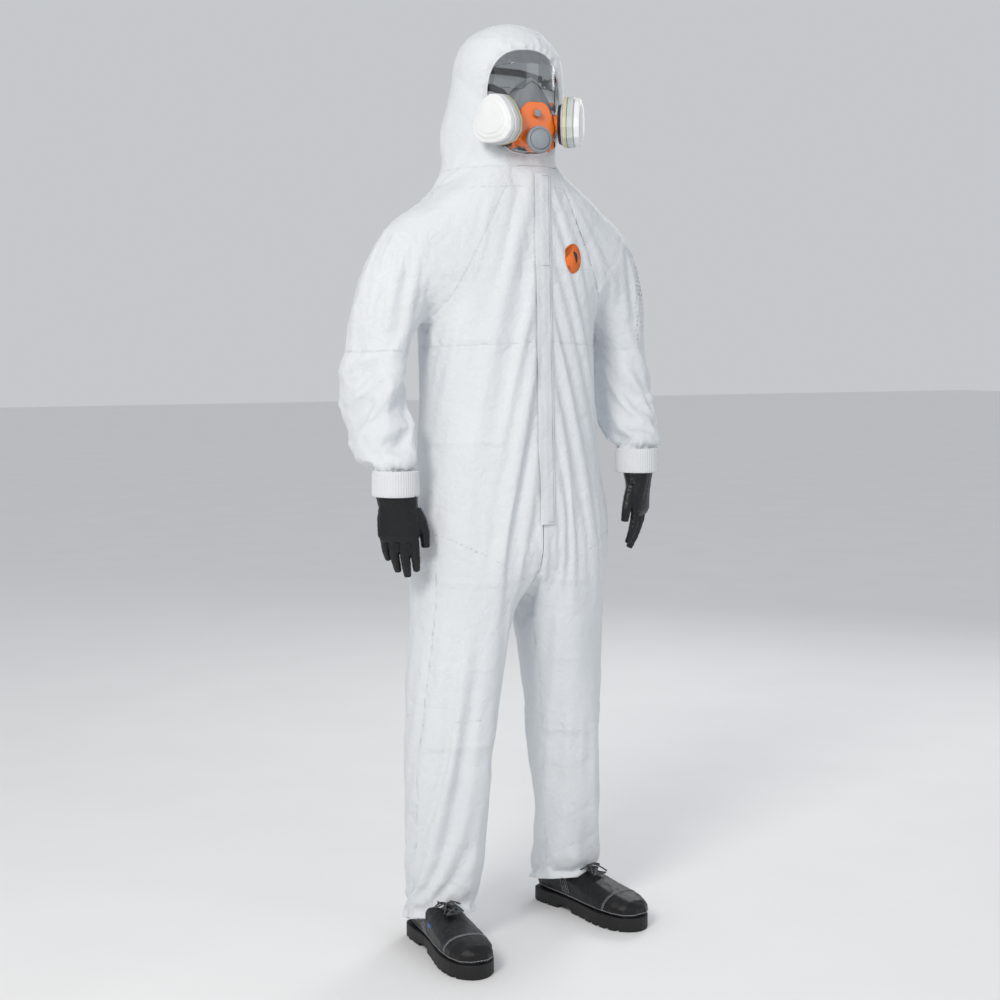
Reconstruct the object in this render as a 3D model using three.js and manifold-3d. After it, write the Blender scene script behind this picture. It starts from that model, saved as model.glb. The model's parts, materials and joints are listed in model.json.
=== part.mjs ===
// Chemical protective suit, worn set: hooded coverall, half-mask respirator, safety spectacles,
// gloves and lace-up shoes. Millimetres, +Z up. The suit stands on the floor at z = 0 and faces -Y,
// so the wearer's right is -X.

import * as THREE from "three";
import { mergeVertices } from "three/addons/utils/BufferGeometryUtils.js";
import { ParametricGeometry } from "three/addons/geometries/ParametricGeometry.js";
import Module from "manifold-3d";

const wasm = await Module();
wasm.setup();

// ---------------------------------------------------------------- driving dimensions

const CLOTH = 3; // wall of every fabric panel
const GAP = 0.4; // between two pieces that meet

const HOOD_TOP = 1895;
const HOOD_JOIN = 1600; // lower edge of the turning part of the hood
const COLLAR_TOP = 1562; // upper edge of the chest and back panels
const WAIST_SEAM = 1250;
const CROTCH = 748;

const FRONT_TOP = -124; // y of the centre front at COLLAR_TOP
const FRONT_BOTTOM = -150; // y of the centre front at ZIP_BOTTOM
const ZIP_X = 8; // the zip lies a little to the wearer's left
const ZIP_TOP = 1584;
const ZIP_BOTTOM = 872;
const ZIP_SLOT = 18; // between the two front panels' edges
const TAPE_WIDTH = 12;
const FLAP_EDGES = [-10, 26]; // free edge and sewn edge
const BADGE_SIZE = [48, 60];
const BADGE_CENTRE = [86, 1418];

const SLEEVE_RADIUS = 76;
const ELBOW = 1195;
const ELBOW_HALF = 45; // half height of the soft band at the elbow
const CUFF_LENGTH = 42;
const CUFF_HALF = [46, 34]; // half width and half thickness of the knitted cuff
const GLOVE_WALL = 2;
const HAND_TURN = 38; // degrees that the back of the hand turns outward from straight ahead
const KNEE_HALF = 76; // half height of the soft band at the knee
const SHOULDER_BAND = 60;
const HIP_BAND = 112;

const HEAD_TURN = -8; // degrees that the hood and mask turn towards the wearer's right
const HOOD_STRIP = 38; // half width of the hood's middle strip
const FACE_HALF = [80, 103]; // half width and half height of the face opening
const FACE_CENTRE = 1727;
const EDGING = 5; // width of the elastic edging round the face

const CARTRIDGE_TURN = 62; // degrees from straight ahead that a cartridge's axis points
const CARTRIDGE_AT = [56, -138, 1682]; // middle of a cartridge's inner face
const CARTRIDGE_SIZE = [104, 100];
const CARTRIDGE_DEPTH = 32;
const VALVE_HEIGHT = 1647;
const VALVE_RADIUS = 24;
const LENS_BOTTOM = 1750;
const LENS_HEIGHT = 52;
const TEMPLE_LENGTH = 74;

const SHOE_LENGTH = 318;
const SHOE_HALF_WIDTH = 53;
const SOLE_HEIGHT = 30;

// The straight line down the front that the zip and the storm flap follow.
const frontLine = (z) =>
  FRONT_TOP + ((FRONT_BOTTOM - FRONT_TOP) * (COLLAR_TOP - z)) / (COLLAR_TOP - ZIP_BOTTOM);
// The flat facet down the front lies this far behind the line.
const FACET = 0.9;
const FRONT_TILT = THREE.MathUtils.radToDeg(
  Math.atan2(FRONT_TOP - FRONT_BOTTOM, COLLAR_TOP - ZIP_BOTTOM),
);

// ---------------------------------------------------------------- materials

const finish = (color, roughness, metalness = 0) =>
  new THREE.MeshStandardMaterial({ color, roughness, metalness });
const nonwoven = finish(0xeceef2, 0.85);
const knit = finish(0xf1f2f4, 0.95);
const zipPlastic = finish(0xe4e6ea, 0.5);
const badgePrint = finish(0xf4772c, 0.7);
const nitrile = finish(0x22262b, 0.45);
const softGrey = finish(0x84828a, 0.6);
const orangePlastic = finish(0xf57c1f, 0.35);
const greyPlastic = finish(0x8f9299, 0.5);
const blackPlastic = finish(0x1b1c20, 0.5);
const whitePlastic = finish(0xe6e9e8, 0.55);
const webbing = finish(0x50545c, 0.8);
const silicone = finish(0xd9dadc, 0.4);
const clearPlastic = finish(0xe9f0f2, 0.08);
const leather = finish(0x17181a, 0.42);
const soleRubber = finish(0x101113, 0.7);
const laceCord = finish(0x3b3d42, 0.85);

// ---------------------------------------------------------------- solids

const FRONT = new THREE.Vector3(0, -1, 0);
const UP = new THREE.Vector3(0, 0, 1);
const EARTH = new THREE.Vector3(0, 0, -1);
const radians = THREE.MathUtils.degToRad;
const vec = (p) => new THREE.Vector3(...p);

// A closed geometry as a manifold-3d solid, with its faces pointing out.
function solid(geometry) {
  const bare = geometry.index ? geometry.toNonIndexed() : geometry.clone();
  bare.deleteAttribute("normal");
  bare.deleteAttribute("uv");
  const merged = mergeVertices(bare, 1e-3);
  const source = merged.index.array;
  const build = (flip) => {
    const faces = [];
    for (let i = 0; i < source.length; i += 3) {
      const [a, b, c] = [source[i], source[i + 1], source[i + 2]];
      if (a !== b && b !== c && c !== a) faces.push(a, flip ? c : b, flip ? b : c);
    }
    return new wasm.Manifold(
      new wasm.Mesh({
        numProp: 3,
        vertProperties: merged.attributes.position.array,
        triVerts: Uint32Array.from(faces),
      }),
    );
  };
  const made = build(false);
  return made.volume() < 0 ? build(true) : made;
}

function node(name, made, material) {
  const out = made.getMesh();
  const geometry = new THREE.BufferGeometry();
  geometry.setAttribute("position", new THREE.BufferAttribute(out.vertProperties, 3));
  geometry.setIndex(new THREE.BufferAttribute(out.triVerts, 1));
  geometry.computeVertexNormals();
  const mesh = new THREE.Mesh(geometry, material);
  mesh.name = name;
  return mesh;
}

// One closed ring: half sizes along side and second, narrower towards +second by taper.
function ringPoint(ring, u, target) {
  const angle = u * 2 * Math.PI;
  const [s, c] = [Math.sin(angle), Math.cos(angle)];
  const round = 2 / ring.power;
  const across = Math.sign(s) * Math.abs(s) ** round * (1 - ring.taper * c);
  const along = Math.sign(c) * Math.abs(c) ** round;
  return target
    .copy(ring.at)
    .addScaledVector(ring.side, ring.half[0] * across)
    .addScaledVector(ring.second, ring.half[1] * along);
}

// A closed soft form through stations {at, half, power, taper, twist}. Its rings stand square to
// the route, or to a fixed heading. reach pushes the first and last ring outwards along it.
function form(stations, options = {}) {
  const { around = 20, steps = stations.length - 1, second = FRONT, grow = 0, reach = [0, 0], phase = 0 } = options;
  const route = new THREE.CatmullRomCurve3(stations.map((s) => vec(s.at)), false, "catmullrom");
  const sizes = new THREE.CatmullRomCurve3(
    stations.map((s) => new THREE.Vector3(s.half[0], s.half[1], s.twist ?? 0)),
    false,
    "catmullrom",
  );
  const shapes = new THREE.CatmullRomCurve3(
    stations.map((s) => new THREE.Vector3(s.power ?? 2, s.taper ?? 0, 0)),
    false,
    "catmullrom",
  );
  const rings = Array.from({ length: steps + 1 }, (_, i) => {
    const t = i / steps;
    const size = sizes.getPoint(t);
    const shape = shapes.getPoint(t);
    const heading = options.heading ?? route.getTangent(t);
    const across = new THREE.Vector3().crossVectors(second, heading).normalize();
    const side = across.applyAxisAngle(heading, radians(size.z));
    const at = route.getPoint(t);
    if (i === 0) at.addScaledVector(heading, -reach[0]);
    if (i === steps) at.addScaledVector(heading, reach[1]);
    return {
      at,
      side,
      second: new THREE.Vector3().crossVectors(heading, side).normalize(),
      half: [size.x + grow, size.y + grow],
      power: shape.x,
      taper: shape.y,
    };
  });
  const rows = steps + 2;
  const surface = (u, v, target) => {
    const row = Math.round(v * rows);
    if (row === 0) return target.copy(rings[0].at);
    if (row === rows) return target.copy(rings[steps].at);
    return ringPoint(rings[row - 1], (u % 1) + phase / around, target);
  };
  return solid(new ParametricGeometry(surface, around, rows));
}

function block(size, at, turn = [0, 0, 0]) {
  const geometry = new THREE.BoxGeometry(...size);
  geometry.applyMatrix4(new THREE.Matrix4().makeRotationFromEuler(new THREE.Euler(...turn.map(radians))));
  return solid(geometry.translate(...at));
}

// A round bar or cone from one point to another.
function rod(from, to, radiusFrom, radiusTo = radiusFrom, sides = 20) {
  const [a, b] = [vec(from), vec(to)];
  const geometry = new THREE.CylinderGeometry(radiusTo, radiusFrom, a.distanceTo(b), sides);
  const turn = new THREE.Quaternion().setFromUnitVectors(
    new THREE.Vector3(0, 1, 0),
    b.clone().sub(a).normalize(),
  );
  geometry.applyQuaternion(turn);
  return solid(geometry.translate(...a.add(b).multiplyScalar(0.5).toArray()));
}

// Everything on the side of a plane that its normal points to, set back from the plane by half a gap.
function beyond(point, normal) {
  const reach = 8000;
  const geometry = new THREE.BoxGeometry(reach, reach, reach);
  const direction = vec(normal).normalize();
  geometry.applyQuaternion(new THREE.Quaternion().setFromUnitVectors(UP, direction));
  const centre = vec(point).addScaledVector(direction, reach / 2 + GAP / 2);
  return solid(geometry.translate(...centre.toArray()));
}
const opposite = (n) => n.map((x) => -x);
const between = (made, from, to, normal) =>
  made.intersect(beyond(from, normal)).intersect(beyond(to, opposite(normal)));

const joined = (...solids) => solids.reduce((a, b) => a.add(b));

// The biggest body of a cut solid, without the slivers that the cut leaves.
const largest = (made) =>
  made.decompose().reduce((a, b) => (b.volume() > a.volume() ? b : a));

// ---------------------------------------------------------------- coverall shape

// A level ring of the body: height, half width and the y of the back.
const level = (z, halfWidth, back, front = frontLine(z), power = 2.5) => ({
  at: [0, (front + back) / 2, z],
  half: [halfWidth, (back - front) / 2],
  power,
});

const bodyStations = [
  level(HOOD_JOIN + 30, 103, 88),
  level(HOOD_JOIN, 104, 90),
  level(1572, 140, 98),
  level(1542, 188, 110),
  level(1505, 212, 121),
  level(1450, 212, 129),
  level(1380, 200, 132),
  level(1310, 200, 132),
  level(WAIST_SEAM, 206, 132),
  level(1130, 208, 134),
  level(1010, 217, 142),
  level(900, 228, 148),
  level(820, 228, 142),
  level(CROTCH + 20, 214, 126, -128),
  level(CROTCH, 196, 104, -106),
];

// The sleeve's route from inside the shoulder to the knitted cuff; the left arm is lift higher.
const sleeveRoute = (side, lift) => [
  { at: [150 * side, 0, 1470], half: [62, 82] },
  { at: [216 * side, 3, 1436], half: [84, 88] },
  { at: [257 * side, 12, 1380], half: [82, 84] },
  { at: [283 * side, 24, 1310], half: [SLEEVE_RADIUS, SLEEVE_RADIUS + 2] },
  { at: [298 * side, 36, 1205 + lift * 0.4], half: [SLEEVE_RADIUS, SLEEVE_RADIUS] },
  { at: [300 * side, 6, 1095 + lift * 0.8], half: [SLEEVE_RADIUS - 3, SLEEVE_RADIUS - 2] },
  { at: [291 * side, -40, 1024 + lift], half: [64, 62], twist: HAND_TURN * -side },
  { at: [287 * side, -56, 984 + lift], half: [50, 42], twist: HAND_TURN * -side },
];
const sleeveEnd = (side, lift) => sleeveRoute(side, lift).at(-1).at;

const legRoute = (side, knee, hem) => [
  { at: [112 * side, 0, 880], half: [104, 132], power: 2.2 },
  { at: [117 * side, 0, 780], half: [106, 127], power: 2.2 },
  { at: [127 * side, hem[1] * 0.2, 670], half: [103, 119] },
  { at: [(knee[0] * 0.6 + 51) * side, hem[1] * 0.4, 550], half: [96, 110] },
  { at: [knee[0] * side, knee[1], knee[2]], half: [89, 101] },
  { at: [hem[0] * side, hem[1] * 0.8, 250], half: [81, 92] },
  { at: [hem[0] * side, hem[1], 110], half: [78, 86] },
  { at: [hem[0] * side, hem[1], 20], half: [78, 86] },
];

// What differs between the two sides of the standing pose.
const SIDES = {
  right: { sign: -1, lift: 0, knee: [168, -14, 415], hem: [174, -14, 90], heel: [184, 56], toeOut: -4 },
  left: { sign: 1, lift: 28, knee: [150, 30, 400], hem: [175, 62, 89.1], heel: [166, 133], toeOut: 11 },
};

const BODY_SIDES = 22;
const body = (grow, reach) => form(bodyStations, { around: BODY_SIDES, phase: 0.5, heading: EARTH, grow, reach });
const sleeve = (side, grow, reach) =>
  form(sleeveRoute(side.sign, side.lift), { around: 12, steps: 9, grow, reach: [0, reach] });
const leg = (side, grow, reach) =>
  form(legRoute(side.sign, side.knee, side.hem), { around: 14, steps: 7, grow, reach: [0, reach] });
const everyLimb = (grow, reach) =>
  Object.values(SIDES).flatMap((side) => [sleeve(side, grow, reach), leg(side, grow, reach)]);

const coverall = joined(body(0, [0, 0]), ...everyLimb(0, 14)).subtract(
  joined(body(-CLOTH, [20, -CLOTH]), ...everyLimb(-CLOTH, 30)),
);

// ---------------------------------------------------------------- coverall panels

const group = new THREE.Group();
const add = (name, made, material) => group.add(node(name, largest(made), material));

// Unit direction in the XZ plane, pointing outwards and down a limb.
const downward = (sign, slope) => [sign * Math.cos(radians(slope)), 0, -Math.sin(radians(slope))];
const moved = (point, direction, distance) => point.map((x, i) => x + direction[i] * distance);

const limbPlanes = (side) => {
  const arm = downward(side.sign, 45);
  const thigh = downward(side.sign, 60);
  const armhole = [204 * side.sign, 0, 1334];
  const crotch = [0, 0, CROTCH - 2];
  const flat = (z) => [0, 0, z];
  return {
    arm,
    thigh,
    armhole,
    crotch,
    armholeEnd: moved(armhole, arm, SHOULDER_BAND),
    thighEnd: moved(crotch, thigh, HIP_BAND),
    elbow: [ELBOW + ELBOW_HALF, ELBOW - ELBOW_HALF].map((z) => flat(z + side.lift * 0.4)),
    knee: [side.knee[2] + KNEE_HALF, side.knee[2] - KNEE_HALF].map(flat),
  };
};
const DOWN = [0, 0, -1];

const sleeveZone = (side, grow = 2) => sleeve(side, grow, 20);
const legZone = (side) =>
  beyond(limbPlanes(side).crotch, limbPlanes(side).thigh).intersect(
    beyond([0, 0, 0], [side.sign, 0, 0]),
  );

const torso = Object.values(SIDES).reduce((made, side) => {
  const { arm, armhole, thigh, crotch } = limbPlanes(side);
  const armCut = sleeveZone(side, 2 + GAP).intersect(beyond(moved(armhole, arm, -GAP), arm));
  const legCut = beyond(moved(crotch, thigh, -GAP), thigh).intersect(
    beyond([-GAP * side.sign, 0, 0], [side.sign, 0, 0]),
  );
  return made.subtract(armCut).subtract(legCut);
}, coverall);

const rightHalf = beyond([ZIP_X, 0, 0], [-1, 0, 0]);
const leftHalf = beyond([ZIP_X, 0, 0], [1, 0, 0]);
const zipSlot = block(
  [ZIP_SLOT, 60, ZIP_TOP - ZIP_BOTTOM],
  [ZIP_X, frontLine((ZIP_TOP + ZIP_BOTTOM) / 2), (ZIP_TOP + ZIP_BOTTOM) / 2],
);

function torsoPanels() {
  const upper = between(torso, [0, 0, WAIST_SEAM], [0, 0, COLLAR_TOP], [0, 0, 1]);
  const lower = torso.intersect(beyond([0, 0, WAIST_SEAM], DOWN)).subtract(zipSlot);
  const chest = upper.intersect(beyond([0, 0, 0], [0, -1, 0])).subtract(zipSlot);
  add("chest_panel_right", chest.intersect(rightHalf), nonwoven);
  add("chest_panel_left", chest.intersect(leftHalf), nonwoven);
  add("back_panel", upper.intersect(beyond([0, 0, 0], [0, 1, 0])), nonwoven);
  add("lower_panel_right", lower.intersect(rightHalf), nonwoven);
  add("lower_panel_left", lower.intersect(leftHalf), nonwoven);
  const neck = between(coverall, [0, 0, COLLAR_TOP], [0, 0, HOOD_JOIN], [0, 0, 1]);
  add("neck_fold", neck.subtract(zipSlot), nonwoven);
}

function sleevePanels(name, side) {
  const { arm, armhole, armholeEnd, elbow } = limbPlanes(side);
  const whole = coverall.intersect(sleeveZone(side)).intersect(beyond(armhole, arm));
  const cuffEdge = [0, 0, sleeveEnd(side.sign, side.lift)[2]];
  add(`shoulder_fold_${name}`, whole.intersect(beyond(armholeEnd, opposite(arm))), nonwoven);
  const past = whole.intersect(beyond(armholeEnd, arm));
  add(`sleeve_upper_${name}`, past.intersect(beyond(elbow[0], [0, 0, 1])), nonwoven);
  add(`elbow_fold_${name}`, between(past, elbow[0], elbow[1], DOWN), nonwoven);
  add(`sleeve_lower_${name}`, between(past, elbow[1], cuffEdge, DOWN), nonwoven);
}

function legPanels(name, side) {
  const { thigh, crotch, thighEnd, knee } = limbPlanes(side);
  const whole = coverall.intersect(legZone(side));
  const hemAt = [side.hem[0] * side.sign, side.hem[1], side.hem[2]];
  add(`hip_fold_${name}`, between(whole, crotch, thighEnd, thigh), nonwoven);
  const past = whole.intersect(beyond(thighEnd, thigh));
  add(`leg_upper_${name}`, past.intersect(beyond(knee[0], [0, 0, 1])), nonwoven);
  add(`knee_fold_${name}`, between(past, knee[0], knee[1], DOWN), nonwoven);
  const hemmed = past.intersect(beyond(hemAt, [0, Math.sin(radians(11)), Math.cos(radians(11))]));
  add(`leg_lower_${name}`, hemmed.intersect(beyond(knee[1], DOWN)), nonwoven);
}

torsoPanels();
Object.entries(SIDES).forEach(([name, side]) => {
  sleevePanels(name, side);
  legPanels(name, side);
});

// ---------------------------------------------------------------- hood

const hoodStations = [
  level(HOOD_JOIN - 10, 103, 90, -121, 2),
  level(HOOD_JOIN, 103, 90, -121, 2),
  level(1650, 106, 102, -122, 2),
  level(1700, 112, 114, -122, 2),
  level(1760, 116, 122, -120, 2),
  level(1815, 112, 122, -114, 2),
  level(1855, 95, 108, -96, 2),
  level(1880, 66, 82, -66, 2),
  level(HOOD_TOP, 26, 40, -26, 2),
].reverse();
const hood = (grow, reach = [0, 0]) => form(hoodStations, { around: 20, heading: EARTH, grow, reach });
const headTurned = (made) => made.rotate([0, 0, HEAD_TURN]);
const addHead = (name, made, material) => add(name, headTurned(largest(made)), material);

// The face opening as a solid bar along Y, larger all round by grow.
const faceBar = (grow) =>
  form(
    [-200, -20].map((y) => ({ at: [0, y, FACE_CENTRE], half: FACE_HALF, power: 2.8 })),
    { around: 22, second: UP, grow },
  );

function hoodPanels() {
  const shell = between(
    hood(0).subtract(hood(-CLOTH, [-CLOTH, 20])).subtract(faceBar(EDGING + GAP)),
    [0, 0, HOOD_JOIN],
    [0, 0, 2000],
    [0, 0, 1],
  );
  const above = block([HOOD_STRIP * 2, 400, 200], [0, 0, FACE_CENTRE + 100]);
  const behind = block([HOOD_STRIP * 2, 200, 400], [0, 100, FACE_CENTRE]);
  const strip = joined(above, behind);
  const aroundStrip = joined(
    block([HOOD_STRIP * 2 + 2 * GAP, 400, 200 + 2 * GAP], [0, 0, FACE_CENTRE + 100]),
    block([HOOD_STRIP * 2 + 2 * GAP, 200 + 2 * GAP, 400], [0, 100, FACE_CENTRE]),
  );
  const panels = shell.subtract(aroundStrip);
  addHead("hood_centre", shell.intersect(strip), nonwoven);
  addHead("hood_right", panels.intersect(beyond([0, 0, 0], [-1, 0, 0])), nonwoven);
  addHead("hood_left", panels.intersect(beyond([0, 0, 0], [1, 0, 0])), nonwoven);
  const edging = hood(1).subtract(hood(-CLOTH - 1)).intersect(faceBar(EDGING));
  addHead("face_elastic", edging.subtract(faceBar(0)), knit);
}
hoodPanels();

// ---------------------------------------------------------------- zip, flap, badge, waist elastic

// A bar that follows the front line: x range, depth range behind the cloth's face, height range.
function frontBar([x0, x1], [d0, d1], [z0, z1]) {
  const middle = (z0 + z1) / 2;
  const length = (z1 - z0) / Math.cos(radians(FRONT_TILT));
  return block(
    [x1 - x0, d1 - d0, length],
    [(x0 + x1) / 2, frontLine(middle) + FACET + (d0 + d1) / 2, middle],
    [-FRONT_TILT, 0, 0],
  );
}
const mirroredBar = (sign, [x0, x1], depths, heights) =>
  frontBar([ZIP_X + sign * x0, ZIP_X + sign * x1].sort((a, b) => a - b), depths, heights);

const TAPE_DEPTH = [CLOTH + 0.6, CLOTH + 1.8];
const TEETH_DEPTH = [CLOTH - 0.2, CLOTH + 2.2];
const TEETH_EDGES = [0.75, 2.8];
const SLIDER_HEIGHTS = [ZIP_TOP - 26, ZIP_TOP - 12];

function zip() {
  Object.entries(SIDES).forEach(([name, { sign }]) => {
    const tape = [TEETH_EDGES[1] + 0.4, TEETH_EDGES[1] + 0.4 + TAPE_WIDTH];
    const heights = [ZIP_BOTTOM + 2, ZIP_TOP - 2];
    add(`zip_tape_${name}`, mirroredBar(sign, tape, TAPE_DEPTH, heights), knit);
    const teeth = [ZIP_BOTTOM + 5, ZIP_TOP - 6];
    add(`zip_teeth_${name}`, mirroredBar(sign, TEETH_EDGES, TEETH_DEPTH, teeth), zipPlastic);
  });
  const slider = joined(
    frontBar([ZIP_X - 5.5, ZIP_X + 5.5], [0, 2.3], SLIDER_HEIGHTS),
    frontBar([ZIP_X - 5.5, ZIP_X + 5.5], [5.7, 7.4], SLIDER_HEIGHTS),
    frontBar([ZIP_X - 0.4, ZIP_X + 0.4], [1, 6.5], SLIDER_HEIGHTS.map((z, i) => z + (i ? -2 : 2))),
  );
  add("zip_slider", slider, zipPlastic);
  const pull = frontBar([ZIP_X - 4, ZIP_X + 4], [-1.9, -0.4], [ZIP_TOP - 54, ZIP_TOP - 15]);
  add("zip_pull", pull, zipPlastic);
}

function stormFlap() {
  const heights = [ZIP_BOTTOM + 6, ZIP_TOP + 4];
  const sheet = frontBar(FLAP_EDGES, [-3.6, -2.3], heights);
  const sewn = frontBar([FLAP_EDGES[1] - 1.5, FLAP_EDGES[1]], [-3, -0.5], heights);
  add("storm_flap", sheet.add(sewn), nonwoven);
}

function badge() {
  const [x, z] = BADGE_CENTRE;
  const oval = form(
    [-200, -60].map((y) => ({ at: [x, y, z], half: BADGE_SIZE.map((s) => s / 2) })),
    { around: 20, second: UP },
  );
  add("chest_badge", body(1.2, [0, 0]).subtract(body(0.4, [0, 0])).intersect(oval), badgePrint);
}

function waistElastic() {
  const band = body(-CLOTH - 0.4, [0, 0]).subtract(body(-CLOTH - 1.6, [0, 0]));
  const behind = beyond([0, 60, 0], [0, 1, 0]);
  const [low, high] = [WAIST_SEAM - 42, WAIST_SEAM - 20];
  add("waist_elastic", between(band.intersect(behind), [0, 0, low], [0, 0, high], [0, 0, 1]), knit);
}

zip();
stormFlap();
badge();
waistElastic();

// ---------------------------------------------------------------- cuffs and gloves

// Directions at a wrist: towards the thumb, out of the back of the hand, down the fingers.
const handAxes = (sign) => {
  const turn = radians(HAND_TURN);
  return [
    [-sign * Math.cos(turn), -Math.sin(turn), 0],
    [sign * Math.sin(turn), -Math.cos(turn), 0],
    [0, -0.1, -1],
  ];
};

function cuffAndGlove(name, { sign, lift }) {
  const [x, y, z] = sleeveEnd(sign, lift);
  const axes = handAxes(sign);
  const place = (p) => axes.reduce((at, axis, i) => moved(at, axis, p[i]), [x, y, z - GAP / 2]);
  const twist = HAND_TURN * -sign;
  const tube = (depths, half, grow, reach) =>
    form(
      depths.map((c) => ({ at: place([0, 0, c]), half, twist, power: 2.2 })),
      { around: 14, heading: EARTH, grow, reach },
    );
  const cuffSpan = [GAP / 2, CUFF_LENGTH];
  const cuff = tube(cuffSpan, CUFF_HALF, 0, [0, 0]);
  const seam = tube([GAP / 2, 3], CUFF_HALF, 5, [0, 0]);
  const bore = tube(cuffSpan, CUFF_HALF, -CLOTH, [9, 9]);
  add(`knit_cuff_${name}`, cuff.add(seam).subtract(bore), knit);

  const wrist = CUFF_LENGTH - 14;
  const finger = (root, middle, tip, radius) => (grow) =>
    form(
      [root, middle, tip].map((p, i) => ({
        at: place(p.map((c, j) => (j === 2 ? c + wrist : c))),
        half: i === 2 ? [radius * 0.72, radius * 0.66] : [radius, radius * 0.92],
        twist,
      })),
      { around: 6, steps: 3, grow, reach: [0, grow ? grow : 4] },
    );
  const fingers = [
    finger([29, 0, 88], [31, -6, 128], [29, -20, 160], 10.5),
    finger([9, 1, 92], [10, -8, 138], [9, -24, 172], 11),
    finger([-11, 1, 90], [-12, -10, 132], [-11, -27, 163], 10.5),
    finger([-29, -1, 84], [-31, -13, 116], [-30, -28, 140], 9.5),
    finger([36, -4, 40], [50, -10, 76], [50, -18, 112], 12.5),
  ];
  const palm = (grow) => {
    const stations = [
      [0, 0, 0, CUFF_HALF[0] - CLOTH - 1.2, CUFF_HALF[1] - CLOTH - 1.2],
      [0, 0, 14, CUFF_HALF[0] - CLOTH - 1.4, CUFF_HALF[1] - CLOTH - 1.4],
      [2, 0, 34, 40, 25],
      [3, -2, 62, 46, 21],
      [0, -1, 92, 43, 16],
      [0, -2, 104, 38, 11],
    ].map(([a, b, c, halfWidth, halfDepth]) => ({
      at: place([a, b, c + wrist]),
      half: [halfWidth, halfDepth],
      twist,
      power: 2.2,
    }));
    return form(stations, { around: 14, heading: EARTH, grow, reach: grow ? [9, grow] : [0, 0] });
  };
  const whole = (grow) => joined(palm(grow), ...fingers.map((make) => make(grow)));
  add(`glove_${name}`, whole(0).subtract(whole(-GLOVE_WALL)), nitrile);
}
Object.entries(SIDES).forEach(([name, side]) => cuffAndGlove(name, side));

// ---------------------------------------------------------------- respirator

// A bar along Y through rings given as [y, centre z, half width, half height, taper].
const alongY = (rings, options = {}) =>
  form(
    rings.map(([y, z, halfWidth, halfHeight, taper = 0]) => ({
      at: [0, y, z],
      half: [halfWidth, halfHeight],
      taper,
    })),
    { second: UP, heading: FRONT, around: 14, ...options },
  );
const facepiece = (grow, reach = [0, 0]) =>
  alongY(
    [
      [-90, 1700, 58, 68, 0.3],
      [-112, 1703, 56, 71, 0.45],
      [-128, 1704, 50, 70, 0.55],
      [-142, 1694, 42, 60, 0.45],
      [-152, 1684, 34, 50, 0.3],
    ],
    { grow, reach },
  );

const cartridgeAxis = (sign) => [
  sign * Math.sin(radians(CARTRIDGE_TURN)),
  -Math.cos(radians(CARTRIDGE_TURN)),
  0,
];
// A round bar about a cartridge's axis; distances are outwards from the cartridge's inner face.
const portBar = (sign, from, to, radius, radiusTo = radius) => {
  const axis = cartridgeAxis(sign);
  const start = [CARTRIDGE_AT[0] * sign, CARTRIDGE_AT[1], CARTRIDGE_AT[2]];
  return rod(moved(start, axis, from), moved(start, axis, to), radius, radiusTo, 14);
};
const valveBar = (from, to, radius, sides = 16) =>
  rod([0, from, VALVE_HEIGHT], [0, to, VALVE_HEIGHT], radius, radius, sides);

function maskBody() {
  const signs = [-1, 1];
  const ports = (grow) => signs.map((sign) => portBar(sign, -22, -GAP, 19 + grow));
  const cup = facepiece(0).subtract(facepiece(-3, [20, -3]));
  const holes = joined(...ports(GAP), valveBar(-120, -170, 23 + GAP));
  addHead("mask_facepiece", cup.subtract(holes), softGrey);

  const plate = facepiece(3.4, [0, 3.4])
    .subtract(facepiece(GAP, [0, GAP]))
    .intersect(block([84, 60, 96], [0, -162, 1674]))
    .intersect(joined(
      block([84, 80, 46], [0, -160, 1654]),
      form([-200, -120].map((y) => ({ at: [0, y, 1676], half: [40, 50] })), { second: UP }),
    ));
  const lugs = signs.flatMap((sign) => [
    block([12, 9, 20], [40 * sign, -138, 1712]),
    block([12, 9, 18], [40 * sign, -136, 1642]),
  ]);
  const button = rod([0, -153.5, 1699], [0, -161, 1699], 9, 8.4, 6);
  const solidFrame = joined(plate, ...ports(0), valveBar(-138, -166, 23), button);
  const bores = signs.flatMap((sign) => [
    portBar(sign, -11, 5, 15.4),
    portBar(sign, -30, 5, 10),
    portBar(sign, -30, -14, 15.4),
  ]);
  const cut = joined(...bores, valveBar(-160, -180, 19), valveBar(-100, -180, 12));
  const withLugs = joined(solidFrame, ...lugs.map((lug) => lug.subtract(facepiece(GAP, [0, GAP]))));
  addHead("mask_front_frame", withLugs.subtract(cut), orangePlastic);
}

function maskValves() {
  addHead("exhale_valve_disc", valveBar(-160.4, -161.6, 16), silicone);
  const ribs = Array.from({ length: 10 }, (_, i) => {
    const angle = (i / 10) * 2 * Math.PI;
    const at = [VALVE_RADIUS * Math.cos(angle), -173, VALVE_HEIGHT + VALVE_RADIUS * Math.sin(angle)];
    return block([2.4, 8, 2.4], at, [0, -THREE.MathUtils.radToDeg(angle), 0]);
  });
  const cover = joined(
    valveBar(-166.4, -178, VALVE_RADIUS),
    rod([0, -178, VALVE_HEIGHT], [0, -182, VALVE_HEIGHT], 18, 15, 16),
  );
  const cavity = valveBar(-160, -173, 20);
  const outlet = block([22, 6, 20], [0, -169.4, VALVE_HEIGHT - 20]);
  const cut = joined(cavity, outlet, ...ribs);
  addHead("exhale_valve_cover", cover.subtract(cut), greyPlastic);
  Object.entries(SIDES).forEach(([name, { sign }]) => {
    addHead(`inhale_valve_disc_${name}`, portBar(sign, -15.6, -14.4, 13), silicone);
  });
}

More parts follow.
